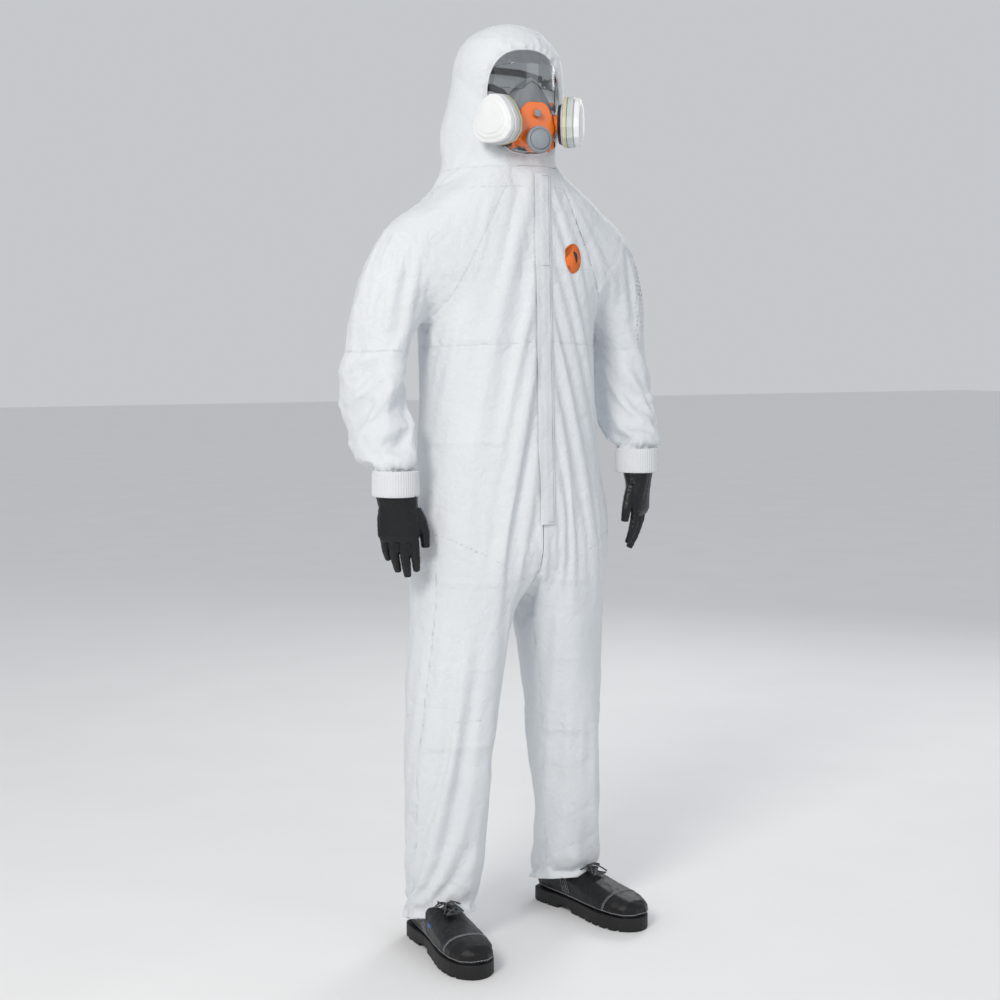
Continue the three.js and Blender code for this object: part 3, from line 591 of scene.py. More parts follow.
def piping(runs, radius, name, ease=1):
    """Round piping along runs of points, as a mesh object."""
    curve = bpy.data.curves.new(name, "CURVE")
    curve.dimensions = "3D"
    curve.bevel_depth = radius
    curve.bevel_resolution = 1
    for points, closed in runs:
        if len(points) < 3:
            continue
        points = [p.copy() for p in points]
        for _ in range(ease):
            count = len(points)
            eased_ones = range(count) if closed else range(1, count - 1)
            points = [
                (points[i - 1] + points[i] * 2 + points[(i + 1) % count]) / 4
                if i in eased_ones else points[i]
                for i in range(count)
            ]
        spline = curve.splines.new("POLY")
        spline.points.add(len(points) - 1)
        spline.use_cyclic_u = closed
        for target, p in zip(spline.points, points):
            target.co = (*p, 1)
    made = link(curve, name)
    mesh = bpy.data.meshes.new_from_object(made)
    bpy.data.objects.remove(made)
    bpy.data.curves.remove(curve)
    mesh.name = name
    return mesh


def make_cloth():
    form = base_form()
    cut_openings(form)
    rest = coordinates(form.data)
    drape(form)
    layer = form.data.attributes.new("cloth", "FLOAT_VECTOR", "POINT")
    layer.data.foreach_set("vector", rest.astype(np.float32).ravel())
    smooth = form.modifiers.new("finer", "SUBSURF")
    smooth.levels = smooth.render_levels = 1
    apply_modifiers(form)
    bm = bmesh.new()
    bm.from_mesh(form.data)
    bpy.data.objects.remove(form)
    cloth = bm.verts.layers.float_vector["cloth"]
    draped = bm.verts.layers.float_vector.new("draped")
    for v in bm.verts:
        v[draped] = v.co
        v.co = v[cloth]
    sew_lines(bm)
    return bm


def seam_distance(bm, points):
    """How far each point lies from the nearest sewn line, up to 30 mm."""
    sewn = [e for e in bm.edges if e.seam]
    tree = KDTree(2 * len(sewn))
    for i, e in enumerate(sewn):
        a, b = (v.co for v in e.verts)
        tree.insert(a, 2 * i)
        tree.insert((a + b) / 2, 2 * i + 1)
    tree.balance()
    on_seam = {v.index for e in sewn for v in e.verts}
    return np.array([0 if i in on_seam else min(tree.find(p)[2], 0.03) for i, p in enumerate(points)])


def gathers(rest, normals):
    """Small gathers that elastic and knitting pull into the cloth beside them, as an offset."""
    x, y, z = rest.T
    height = np.zeros(len(rest))
    for side, sign in SIDES.items():
        low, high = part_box(f"knit_cuff_{side}")
        turn = np.arctan2(y - (low.y + high.y) / 2, x - (low.x + high.x) / 2)
        near = np.exp(-np.clip(z - high.z - 0.006, 0, 1) / 0.022) * (x * sign > 0.21) * (z > 0.95)
        height += near * (0.0022 * np.sin(turn * 13 + 2 * np.sin(turn * 3)) + 0.0008 * np.sin(turn * 22))
    across, forward, up = in_head(rest)
    middle = (opening[0] + opening[1]) / 2
    ring = face_outline(across, up) ** (1 / FACE_POWER)
    around = np.arctan2(up - middle, across)
    near = np.exp(-np.clip(ring - 1, 0, 2) * 0.09 / 0.016) * (forward < 0) * (z > neck_join - 0.01)
    height += near * 0.0016 * np.sin(around * 34 + 2.5 * np.sin(around * 5))
    return normals * height[:, None]


def heavy_folds(rest, normals):
    """Sharp folds where the sleeves bunch at the elbow and forearm, and softer ones at knee and hem."""
    x, y, z = rest.T
    height = np.zeros(len(rest))
    for side, sign in SIDES.items():
        elbow, knee = pivot[f"elbow_{side}"], pivot[f"knee_{side}"]
        turn = np.arctan2(y - elbow.y, (x - elbow.x) * sign)
        arm = (x * sign > 0.215) & (z > 0.97) & (z < 1.44)
        where = np.nonzero(arm)[0]
        for i in where:
            level = (z[i] + 0.06 * turn[i]) * 13 + 5 * sign
            at = Vector((math.cos(turn[i]) * 0.8, math.sin(turn[i]) * 0.8, level))
            ridge = 1 - 2 * abs(noise.noise(at))
            fine = 1 - 2 * abs(noise.noise(at * 2.3 + Vector((3, 1, 7))))
            near = math.exp(-((z[i] - elbow.z + 0.05) / 0.12) ** 2)
            height[i] += near * (0.014 * (ridge - 0.55) + 0.004 * (fine - 0.5))
        leg = np.nonzero((z < knee.z + 0.2) & (x * sign > 0))[0]
        for i in leg:
            at = Vector((x[i] * 9, y[i] * 9, z[i] * 11 + 2 * sign))
            near = math.exp(-((z[i] - 0.16) / 0.08) ** 2) + 0.5 * math.exp(-((z[i] - knee.z) / 0.1) ** 2)
            height[i] += near * 0.0055 * (0.45 - 2 * abs(noise.noise(at)))
    return normals * height[:, None]


bm = make_cloth()
cloth_layer = bm.verts.layers.float_vector["cloth"]
draped_layer = bm.verts.layers.float_vector["draped"]
bm.verts.index_update()
rest = np.array([v.co for v in bm.verts])
apart = seam_distance(bm, rest)
piece_name = [piece_of(f.calc_center_median()) for f in bm.faces]
for v in bm.verts:
    v[cloth_layer] = v.co
    v.co = v[draped_layer]
bm.normal_update()
normals = np.array([v.normal for v in bm.verts])
shaped = np.array([v.co for v in bm.verts]) + gathers(rest, normals) + heavy_folds(rest, normals)
# a sewn line draws the cloth in a little, and the cloth puckers beside it
pucker = np.array([noise.noise(Vector(p) * 70) for p in rest])
shaped -= normals * (0.0004 * np.exp(-apart / 0.005) + 0.0022 * pucker * np.exp(-apart / 0.012))[:, None]
for v, p in zip(bm.verts, shaped):
    v.co = p
bm.normal_update()
whole_normals = bm.verts.layers.float_vector.new("whole")
seam_layer = bm.verts.layers.float.new("seam")
for v, d in zip(bm.verts, apart):
    v[whole_normals] = v.normal
    v[seam_layer] = d


def cloth_piece(name):
    part = bm.copy()
    part.faces.ensure_lookup_table()
    gone = [part.faces[i] for i, n in enumerate(piece_name) if n != name]
    bmesh.ops.delete(part, geom=gone, context="FACES")
    part.edges.ensure_lookup_table()
    sewn = [e for e in part.edges if e.seam]
    welts = piping(chains(sewn), 0.0006, "welt", ease=2)
    opened = part.edges.layers.int["open"]
    edge_of_cloth = [e for e in part.edges if e.is_boundary and e[opened]]
    hems = piping(chains(edge_of_cloth), 0.0022 if name == "hood_cloth" else 0.0008, "hem", ease=2)
    part.verts.index_update()
    layer = part.verts.layers.float_vector["whole"]
    normals = [v[layer].copy() for v in part.verts]
    for f in part.faces:
        f.material_index = 0
        f.smooth = True
    for material_index, added in ((1, welts), (2, hems)):
        count = len(part.faces)
        part.from_mesh(added)
        part.faces.ensure_lookup_table()
        for f in part.faces[count:]:
            f.material_index = material_index
            f.smooth = True
    part.verts.index_update()
    part.verts.ensure_lookup_table()
    part.normal_update()
    place = part.verts.layers.float_vector["cloth"]
    away = part.verts.layers.float["seam"]
    for v in part.verts[len(normals):]:
        normals.append(v.normal.copy())
        v[place] = v.co
        v[away] = 0.03
    for layer_name in ("whole", "draped"):
        layer = part.verts.layers.float_vector[layer_name]
        part.verts.layers.float_vector.remove(layer)
    made = from_bmesh(part, name)
    made.data.normals_split_custom_set_from_vertices([tuple(n) for n in normals])
    return made


# the coverall's real edges: face opening, sleeve ends and hems
open_layer = bm.edges.layers.int.new("open")
for e in bm.edges:
    e[open_layer] = int(e.is_boundary)


# ---------------------------------------------------------------- materials

def linear(code):
    """An sRGB hex colour as linear values."""
    parts = [int(code[i:i + 2], 16) / 255 for i in (1, 3, 5)]
    return (*[c / 12.92 if c <= 0.04045 else ((c + 0.055) / 1.055) ** 2.4 for c in parts], 1)


def add(tree, kind, inputs=None, **settings):
    """Adds a node with its settings, and sets or links its inputs."""
    made = tree.nodes.new(kind)
    for key, value in settings.items():
        setattr(made, key, value)
    for key, value in (inputs or {}).items():
        socket = made.inputs[key]
        if isinstance(value, bpy.types.NodeSocket):
            tree.links.new(value, socket)
        else:
            socket.default_value = value
    return made


def finish_of(name, colour, roughness, **sockets):
    """A new material with its shader; returns the material, its tree and the shader."""
    material = bpy.data.materials.new(name)
    material.use_nodes = True
    tree = material.node_tree
    shader = tree.nodes["Principled BSDF"]
    shader.inputs["Base Color"].default_value = linear(colour)
    shader.inputs["Roughness"].default_value = roughness
    material.diffuse_color = linear(colour)
    for key, value in sockets.items():
        shader.inputs[key.replace("_", " ")].default_value = value
    return material, tree, shader


def mixed(tree, factor, low, high):
    """A colour between two hex colours."""
    ramp_ = add(tree, "ShaderNodeValToRGB", {"Fac": factor})
    ramp_.color_ramp.elements[0].color = linear(low)
    ramp_.color_ramp.elements[1].color = linear(high)
    return ramp_.outputs["Color"]


def raised(tree, height, distance, strength=1.0, under=None):
    inputs = {"Height": height, "Distance": distance, "Strength": strength}
    if under:
        inputs["Normal"] = under
    return add(tree, "ShaderNodeBump", inputs).outputs["Normal"]


def maths(tree, operation, a, b=0.0, c=0.0):
    made = add(tree, "ShaderNodeMath", {0: a, 1: b, 2: c}, operation=operation)
    return made.outputs[0]


def noise_at(tree, place, scale, detail, **inputs):
    inputs = {"Vector": place, "Scale": scale, "Detail": detail, **inputs}
    return add(tree, "ShaderNodeTexNoise", inputs).outputs["Fac"]


def edges_at(tree, place, scale):
    """How far a place lies from the borders of a pattern of cells."""
    cells = add(tree, "ShaderNodeTexVoronoi", {"Vector": place, "Scale": scale}, feature="DISTANCE_TO_EDGE")
    return cells.outputs["Distance"]


def object_place(tree):
    return add(tree, "ShaderNodeTexCoord").outputs["Object"]


CREASES = (  # packing creases: height, where it starts and stops across the body, how deep
    (1.055, -0.23, -0.09, 0.0016),
    (0.775, -0.22, -0.05, 0.0018),
    (0.765, 0.01, 0.16, 0.0016),
    (1.405, -0.20, 0.18, 0.0008),
    (0.44, -0.26, 0.26, 0.0012),
    (0.60, -0.24, 0.24, 0.0008),
)


def nonwoven_cloth(name, low, high):
    """Microporous film on spunbond: matt white, faintly cool, thermally bonded in a fine dot grid."""
    material, tree, shader = finish_of(
        name, high, 0.62, Sheen_Weight=0.12, Sheen_Roughness=0.5, Transmission_Weight=0.14, IOR=1.2
    )
    place = add(tree, "ShaderNodeAttribute", attribute_name="cloth").outputs["Vector"]
    seam = add(tree, "ShaderNodeAttribute", attribute_name="seam").outputs["Fac"]
    cloud = noise_at(tree, place, 7.0, 3.0)
    fibre = noise_at(tree, place, 900.0, 2.0)
    cloudy = maths(tree, "MULTIPLY", cloud, 0.65)
    tone = maths(tree, "MULTIPLY_ADD", fibre, 0.35, cloudy)
    tree.links.new(mixed(tree, tone, low, high), shader.inputs["Base Color"])
    # bond points 1 mm apart on the real cloth, drawn 2.4 mm apart so that they show
    bond = add(tree, "ShaderNodeTexVoronoi", {"Vector": place, "Scale": 420.0, "Randomness": 0.15})
    crinkle = noise_at(tree, place, 42.0, 5.0, Roughness=0.62)
    folded, crumple = edges_at(tree, place, 13.0), edges_at(tree, place, 46.0)
    parts = add(tree, "ShaderNodeSeparateXYZ", {"Vector": place})
    x, z = parts.outputs["X"], parts.outputs["Z"]
    height = None
    for level, start, stop, depth in CREASES:
        wave = maths(tree, "MULTIPLY_ADD", crinkle, 0.006, level - 0.003)
        off_line = maths(tree, "ABSOLUTE", maths(tree, "SUBTRACT", z, wave))
        tent = maths(tree, "SUBTRACT", 1.0, maths(tree, "DIVIDE", off_line, 0.012))
        tent = maths(tree, "MAXIMUM", tent, 0.0)
        middle, half = (start + stop) / 2, (stop - start) / 2
        run = maths(tree, "SUBTRACT", half, maths(tree, "ABSOLUTE", maths(tree, "SUBTRACT", x, middle)))
        within = add(tree, "ShaderNodeClamp", {"Value": maths(tree, "DIVIDE", run, 0.02)})
        run = maths(tree, "MULTIPLY", within.outputs[0], depth)
        tent = maths(tree, "MULTIPLY", tent, run)
        height = tent if height is None else maths(tree, "ADD", height, tent)
    stitch = add(
        tree,
        "ShaderNodeMapRange",
        {"Value": seam, 1: 0.0, 2: 0.005, 3: 0.0, 4: 1.0},
        interpolation_type="SMOOTHSTEP",
    )
    bump = raised(tree, bond.outputs["Distance"], 0.00016, 0.6)
    bump = raised(tree, crinkle, 0.0034, 0.8, bump)
    bump = raised(tree, maths(tree, "MINIMUM", folded, 0.22), 0.009, 0.6, bump)
    bump = raised(tree, maths(tree, "MINIMUM", crumple, 0.16), 0.0045, 0.5, bump)
    bump = raised(tree, stitch.outputs[0], 0.0005, 0.5, bump)
    bump = raised(tree, height, 1.0, 1.0, bump)
    tree.links.new(bump, shader.inputs["Normal"])
    return material


def grained(name, low, high, roughness, grain, depth, soft=0.0, **sockets):
    """A moulded or cast finish: a faint variation of tone over a fine even grain."""
    material, tree, shader = finish_of(name, high, roughness, **sockets)
    place = object_place(tree)
    tree.links.new(mixed(tree, noise_at(tree, place, 22.0, 3.0), low, high), shader.inputs["Base Color"])
    worn = noise_at(tree, place, 60.0, 4.0)
    rough = add(tree, "ShaderNodeMapRange", {"Value": worn, 3: roughness - 0.05, 4: roughness + 0.07})
    tree.links.new(rough.outputs[0], shader.inputs["Roughness"])
    bump = raised(tree, noise_at(tree, place, 1 / grain, 2.0), depth)
    if soft:
        bump = raised(tree, noise_at(tree, place, 75.0, 3.0, Distortion=0.8), soft, 0.8, bump)
    tree.links.new(bump, shader.inputs["Normal"])
    return material


def woven(name, low, high, pitch, roughness=0.8):
    """Narrow woven or braided yarn: crossing ridges one thread apart."""
    material, tree, shader = finish_of(name, high, roughness, Sheen_Weight=0.25, Sheen_Roughness=0.4)
    place = object_place(tree)
    ridges = [
        add(
            tree,
            "ShaderNodeTexWave",
            {"Vector": place, "Scale": 0.31 / pitch, "Distortion": 0.6, "Detail": 1.0},
            bands_direction=direction,
        ).outputs["Fac"]
        for direction in ("Z", "DIAGONAL")
    ]
    weave = maths(tree, "MULTIPLY", ridges[0], ridges[1])
    tree.links.new(mixed(tree, weave, low, high), shader.inputs["Base Color"])
    tree.links.new(raised(tree, weave, pitch * 0.35), shader.inputs["Normal"])
    return material


def full_grain_leather():
    """Coated full-grain leather: near black, satin, with a pebbled grain of about 1.2 mm."""
    material, tree, shader = finish_of("coated_leather", "#0c0c0d", 0.36, Specular_IOR_Level=0.36)
    place = object_place(tree)
    crease = noise_at(tree, place, 38.0, 4.0, Distortion=1.2)
    tree.links.new(mixed(tree, crease, "#070708", "#0f0f11"), shader.inputs["Base Color"])
    bump = raised(tree, maths(tree, "MINIMUM", edges_at(tree, place, 620.0), 0.25), 0.0006, 0.7)
    tree.links.new(raised(tree, crease, 0.0011, 0.5, bump), shader.inputs["Normal"])
    return material


def clear_polycarbonate():
    """Injection-moulded clear polycarbonate, hard-coated: almost colourless and sharp."""
    material, tree, shader = finish_of(
        "clear_polycarbonate", "#f6f9fa", 0.03, Transmission_Weight=1.0, IOR=1.58
    )
    film = noise_at(tree, object_place(tree), 30.0, 2.0)
    rough = add(tree, "ShaderNodeMapRange", {"Value": film, 3: 0.015, 4: 0.06})
    tree.links.new(rough.outputs[0], shader.inputs["Roughness"])
    return material


nonwoven = nonwoven_cloth("microporous_nonwoven", "#dde2e7", "#eef1f3")
welt_tape = nonwoven_cloth("overlocked_seam", "#d6dbe0", "#e6eaed")
edge_binding = nonwoven_cloth("elastic_binding", "#dfe4e8", "#f2f4f5")
knit_yarn = woven("ribbed_knit", "#dcdfe2", "#f1f3f4", 0.0014, 0.85)
nitrile = grained(
    "dipped_nitrile", "#08090b", "#121417", 0.38, 0.0008, 0.0001, 0.0012, Specular_IOR_Level=0.38
)
soft_rubber = grained("moulded_elastomer", "#6b7075", "#858a8f", 0.5, 0.0007, 0.00006)
orange_plastic = grained("glossy_orange_abs", "#e5670c", "#f27a12", 0.2, 0.0016, 0.00002, Coat_Weight=0.3)
grey_plastic = grained("moulded_grey_abs", "#7d848b", "#979ea4", 0.42, 0.0006, 0.00004)
light_grey_plastic = grained("moulded_light_grey_abs", "#b5b9bb", "#cacdce", 0.4, 0.0006, 0.00004)
black_plastic = grained("moulded_black_abs", "#141517", "#222427", 0.4, 0.0006, 0.00005)
white_plastic = grained("moulded_white_abs", "#dadddd", "#eceeee", 0.46, 0.0006, 0.00005)
yellow_print = grained("yellow_band_print", "#d9b21a", "#e8c431", 0.5, 0.0008, 0.00002)
green_print = grained("green_band_print", "#3f7d49", "#56945c", 0.5, 0.0008, 0.00002)
orange_print = grained("orange_screen_print", "#e0641a", "#f07d2a", 0.55, 0.0010, 0.00008)
dark_print = grained("dark_screen_print", "#2b2c2f", "#3a3c40", 0.55, 0.0010, 0.00006)
blue_tag = grained("woven_blue_tag", "#2b5f9c", "#3f78b8", 0.7, 0.0009, 0.0001)
webbing = woven("polyester_webbing", "#3a3e42", "#5b6065", 0.0016)
silicone = grained("translucent_silicone", "#b8babb", "#d0d2d3", 0.4, 0.0008, 0.00003)
leather = full_grain_leather()
sole_rubber = grained("foamed_polyurethane", "#0a0a0b", "#151517", 0.62, 0.0010, 0.00015)
lace_cord = woven("braided_lace", "#191a1b", "#6c6f73", 0.0018)
thread = grained("grey_thread", "#8a8d91", "#a8abaf", 0.7, 0.0005, 0.0001)
zip_plastic = grained("acetal_zip", "#d5d8da", "#e6e8e9", 0.4, 0.0006, 0.00004)
zip_cloth = woven("zip_tape", "#cfd3d6", "#eceeef", 0.0012)
clear_plastic = clear_polycarbonate()


def paint(piece, *materials, smooth=True):
    which = [f.material_index for f in piece.data.polygons]
    piece.data.materials.clear()
    for m in materials:
        piece.data.materials.append(m)
    if len(materials) > 1:
        piece.data.polygons.foreach_set("material_index", which)
    if smooth:
        for f in piece.data.polygons:
            f.use_smooth = True
    return piece


# ---------------------------------------------------------------- the coverall's pieces

def make_coverall():
    made = {}
    for name in sorted(set(piece_name)):
        piece = cloth_piece(name)
        paint(piece, nonwoven, welt_tape, edge_binding, smooth=False)
        made[name] = piece
    for side, sign in SIDES.items():
        arm = Vector((0.707 * sign, 0, -0.707))
        fork = Vector((RAGLAN_FOOT[0] * sign, 0, RAGLAN_FOOT[1]))
        elbow, knee = pivot[f"elbow_{side}"], pivot[f"knee_{side}"]
        leg_end = HIP_TOP + Vector((HIP_SLOPE.x * sign, 0, HIP_SLOPE.z)) * 0.112
        bend, knee_bend = Vector((0, 0, 0.045)), Vector((0, 0, 0.076))
        joins = {
            "sleeve": ("torso", "upper_arm", fork, fork + arm * 0.055, ("shoulder_fold", "sleeve_upper")),
            "forearm": ("upper_arm", "forearm", elbow + bend, elbow - bend, ("elbow_fold", "sleeve_lower")),
            "thigh": ("torso", "thigh", HIP_TOP, leg_end, ("hip_fold", "leg_upper")),
            "shin": ("thigh", "shin", knee + knee_bend, knee - knee_bend, ("knee_fold", "leg_lower")),
        }
        for part, (a, b, start, end, nodes) in joins.items():
            piece = made[f"{part}_cloth_{side}"]
            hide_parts(*[f"{n}_{side}" for n in nodes])
            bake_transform(piece, a if a == "torso" else f"{a}_{side}", f"{b}_{side}", start, end)
    body, hood = made["body_cloth"], made["hood_cloth"]
    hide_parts(*TORSO_NODES, "neck_fold")
    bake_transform(body, "torso", "head", (0, 0, collar_top), (0, 0, neck_join))
    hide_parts("hood_right", "hood_centre", "hood_left", "face_elastic")
    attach(hood, "head")
    return made


coverall = make_coverall()


def surface_of(*pieces):
    """A search tree over the outside of some finished pieces."""
    gathered = bmesh.new()
    for piece in pieces:
        gathered.from_mesh(piece.data)
    tree = BVHTree.FromBMesh(gathered)
    gathered.free()
    return tree


front_of_body = surface_of(*(coverall[n] for n in ("body_cloth", "sleeve_cloth_left", "sleeve_cloth_right")))
TEETH_RISE, TEETH_HALF = 0.0011, 0.006


def front_y(x, z, otherwise):
    """Where the coverall's front lies, or another value where there is no cloth."""
    hit = front_of_body.ray_cast(Vector((x, -1, z)), Vector((0, 1, 0)))[0]
    return hit.y if hit else otherwise


def over_teeth(x):
    """The storm flap lies on the zip's teeth and dips beside them."""
    return TEETH_RISE * math.exp(-((x - zip_x) / TEETH_HALF) ** 2)


def make_waist_elastic():
    """The narrow elastic sewn inside the waist seam, following the cloth."""
    ring = bm.copy()
    ring.faces.ensure_lookup_table()
    layer = ring.verts.layers.float_vector["cloth"]
    keep_faces(ring, [
        f for f, n in zip(ring.faces, piece_name)
        if n == "body_cloth" and all(abs(v[layer][2] - waist_seam) < 0.011 for v in f.verts)
    ])
    for v in ring.verts:
        v.co -= v.normal * 0.004
    for layer in list(ring.verts.layers.float_vector.values()):
        ring.verts.layers.float_vector.remove(layer)
    piece = paint(from_bmesh(ring, "waist_elastic_band"), knit_yarn)
    wall = piece.modifiers.new("wall", "SOLIDIFY")
    wall.thickness = 0.001
    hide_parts("waist_elastic")
    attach(piece, "torso")


make_waist_elastic()


def make_flap():
    """The storm flap over the zip: two layers of cloth, sewn down one edge and stuck down at the other."""
    low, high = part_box("storm_flap")
    flap = bmesh.new()
    columns, rows = 10, 150
    bmesh.ops.create_grid(flap, x_segments=columns, y_segments=rows, size=0.5)
    for v in flap.verts:
        across, along = v.co.x + 0.5, v.co.y + 0.5
        z = low.z + 0.001 + (high.z - low.z - 0.002) * along
        x = low.x + 0.0005 + (high.x - low.x) * across
        wave = noise.noise(Vector((0, z * 11, 3.1)))
        x += (1 - across) * (0.0022 * wave + 0.003 * float(ramp(1.02 - z, 0, 0.15)))
        loose = (1 - across) ** 2 * (0.0022 + 0.0016 * noise.noise(Vector((0, z * 16, 7))))
        v.co = (x, front_y(x, z, low.y) - 0.0032 - loose - over_teeth(x), z)
    piece = from_bmesh(flap, "storm_flap_cloth")
    if piece.data.polygons[0].normal.y > 0:
        piece.data.flip_normals()
    wall = piece.modifiers.new("wall", "SOLIDIFY")
    wall.thickness = 0.0011
    wall.offset = 0
    rounding = piece.modifiers.new("edge", "BEVEL")
    rounding.width, rounding.segments = 0.0004, 2
    apply_modifiers(piece)
    layer = piece.data.attributes.new("cloth", "FLOAT_VECTOR", "POINT")
    layer.data.foreach_set("vector", coordinates(piece.data).astype(np.float32).ravel())
    distance = piece.data.attributes.new("seam", "FLOAT", "POINT")
    edge = np.minimum(np.abs(coordinates(piece.data)[:, 0] - high.x + 0.003), 0.03)
    distance.data.foreach_set("value", edge.astype(np.float32))
    paint(piece, nonwoven)
    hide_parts("storm_flap")
    runs = []
    for x, z0, z1 in ((high.x - 0.003, low.z, high.z), (low.x + 0.006, low.z, low.z + 0.06)):
        points = []
        for k in range(int((z1 - z0) / 0.006)):
            z = z0 + 0.003 + k * 0.006
            points.append(Vector((x, front_y(x, z, low.y) - 0.0041, z)))
        runs.append((points, False))
    for level in (1.402, high.z - 0.006, low.z + 0.006):
        points = [
            Vector((x, front_y(x, level, low.y) - 0.0044 - over_teeth(x), level))
            for x in np.linspace(low.x + 0.004, high.x - 0.004, 8)
        ]
        runs.append((points, False))
    stitches = link(piping(runs, 0.00035, "flap_stitches"), "flap_stitches")
    paint(stitches, thread)
    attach(piece, "flap")
    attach(stitches, "flap")
    return piece


flap_cloth = make_flap()


def make_badge():
    """A plain printed patch: an orange rounded shape with a dark plain shield on it."""
    low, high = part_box("chest_badge")
    centre = (low + high) / 2
    half = Vector(((high.x - low.x) / 2, 0, (high.z - low.z) / 2))
    layers = (("badge_patch", 1.0, 0.0009, orange_print), ("badge_shield", 0.5, 0.0013, dark_print))
    for name, scale, lift, material in layers:
        patch = bmesh.new()
        bmesh.ops.create_circle(patch, cap_ends=True, segments=48, radius=1)
        inner = patch.faces[:]
        for _ in range(5):
            bmesh.ops.inset_region(patch, faces=inner, thickness=0.15)
        for v in patch.verts:
            u, w = v.co.x, v.co.y
            # the outline narrows towards its foot
            x = centre.x + u * half.x * scale * (1 - 0.2 * (1 - w) / 2)
            z = centre.z + w * half.z * scale
            v.co = (x, front_y(x, z, centre.y) - lift, z)
        bmesh.ops.recalc_face_normals(patch, faces=patch.faces)
        piece = from_bmesh(patch, name)
        if sum(f.normal.y * f.area for f in piece.data.polygons) > 0:
            piece.data.flip_normals()
        wall = piece.modifiers.new("wall", "SOLIDIFY")
        wall.thickness = 0.0005
        wall.offset = 0
        paint(piece, material)
        if scale == 1.0:
            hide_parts("chest_badge")
        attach(piece, "torso")


make_badge()


# ---------------------------------------------------------------- pieces shaped from the CAD solids

def refined(node, name, voxel, smoothing, material, body, ripple=0.0, fine=90.0):
    """A smooth piece on a CAD solid's own form, with its edges eased and optional ripples."""
    piece = from_bmesh(node_mesh(node), name)
    add_skin(piece, voxel)
    add_easing(piece, smoothing)
    apply_modifiers(piece)
    if ripple:
        points = coordinates(piece.data)
        normals = np.empty(len(points) * 3)
        piece.data.vertices.foreach_get("normal", normals)
        wave = np.array([noise.noise(Vector(p) * fine) for p in points])
        ridge = 1 - np.abs(wave) * 2
        set_coordinates(piece.data, points + normals.reshape(-1, 3) * (ripple * ridge)[:, None])
    paint(piece, material)
    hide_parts(node)
    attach(piece, body)
    return piece


def make_cuff(side):
    """A ribbed knitted cuff: fine vertical ribs, turned in at both ends."""
    low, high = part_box(f"knit_cuff_{side}")
    middle = (low + high) / 2
    half = Vector(((high.x - low.x) / 2, (high.y - low.y) / 2))
    shape = bmesh.new()
    ribs = 56
    bmesh.ops.create_circle(shape, segments=ribs * 6, radius=1)
    ring = shape.edges[:]
    levels = [
        (0.97, 0), (1.0, 0.06), (1.01, 0.3), (0.985, 0.62), (1.0, 0.9), (0.97, 1.0), (0.9, 1.0), (0.9, 0),
    ]  # size and height, up the outside and down the inside
    tall = high.z - low.z + 0.012
    for v in shape.verts:
        v.co.z = 0
    first = ring
    rings = [list(shape.verts)]
    for _ in levels[1:]:
        grown = bmesh.ops.extrude_edge_only(shape, edges=ring)
        ring = edges_in(grown["geom"])
        rings.append(verts_in(grown["geom"]))
    for (size, level), loop in zip(levels, rings):
        for v in loop:
            turn = math.atan2(v.co.y, v.co.x)
            rib = 0.0005 * math.cos(ribs * turn) + 0.0012 * math.sin(3 * turn + 1)
            v.co = (
                middle.x + math.cos(turn) * (half.x * size + rib),
                middle.y + math.sin(turn) * (half.y * size + rib),
                low.z + tall * level,
            )
    bmesh.ops.bridge_loops(shape, edges=first + ring)
    bmesh.ops.recalc_face_normals(shape, faces=shape.faces)
    piece = paint(from_bmesh(shape, f"ribbed_cuff_{side}"), knit_yarn)
    finer = piece.modifiers.new("finer", "SUBSURF")
    finer.levels = finer.render_levels = 1
    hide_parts(f"knit_cuff_{side}")
    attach(piece, f"forearm_{side}")


def head_point(x, y, z):
    """A point given across, forward and up in the head's own directions."""
    return from_head @ Vector((x, y, z))


def head_box(node):
    """A node's lowest and highest corners in the head's own directions."""
    shape = node_mesh(node)
    points = np.array([to_head @ v.co for v in shape.verts])
    shape.free()
    return Vector(points.min(axis=0)), Vector(points.max(axis=0))


def turned(shape, name, at, axis, material, body):
    """Puts a shape made round Z at a place, with Z along an axis."""
    turn = Vector((0, 0, 1)).rotation_difference(Vector(axis)).to_matrix().to_4x4()
    bmesh.ops.transform(shape, matrix=Matrix.Translation(at) @ turn, verts=shape.verts)
    bmesh.ops.recalc_face_normals(shape, faces=shape.faces)
    piece = paint(from_bmesh(shape, name), material)
    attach(piece, body)
    return piece


def spun(profile, steps=64):
    """A turned shape from a profile of (radius, height) points, closed at the axis."""
    shape = bmesh.new()
    verts = [shape.verts.new((r, 0, h)) for r, h in profile]
    edges = [shape.edges.new(pair) for pair in zip(verts, verts[1:])]
    bmesh.ops.spin(
        shape, geom=verts + edges, cent=(0, 0, 0), axis=(0, 0, 1), angle=math.tau, steps=steps, use_merge=True
    )
    bmesh.ops.remove_doubles(shape, verts=shape.verts, dist=1e-6)
    return shape


def soften_edges(shape, edges, offset, segments):
    bmesh.ops.bevel(
        shape, geom=list(edges), offset=offset, segments=segments, profile=0.5, affect="EDGES", material=-1
    )


def rounded_block(shape, size, at, turn=None, soften=0.0004):
    """Adds a small rounded block to a shape."""
    made = bmesh.ops.create_cube(shape, size=1)
    matrix = Matrix.Translation(at) @ (turn or Matrix.Identity(4)) @ Matrix.Diagonal((*size, 1))
    bmesh.ops.transform(shape, matrix=matrix, verts=made["verts"])
    edges = {e for v in made["verts"] for e in v.link_edges}
    soften_edges(shape, edges, soften, 2)


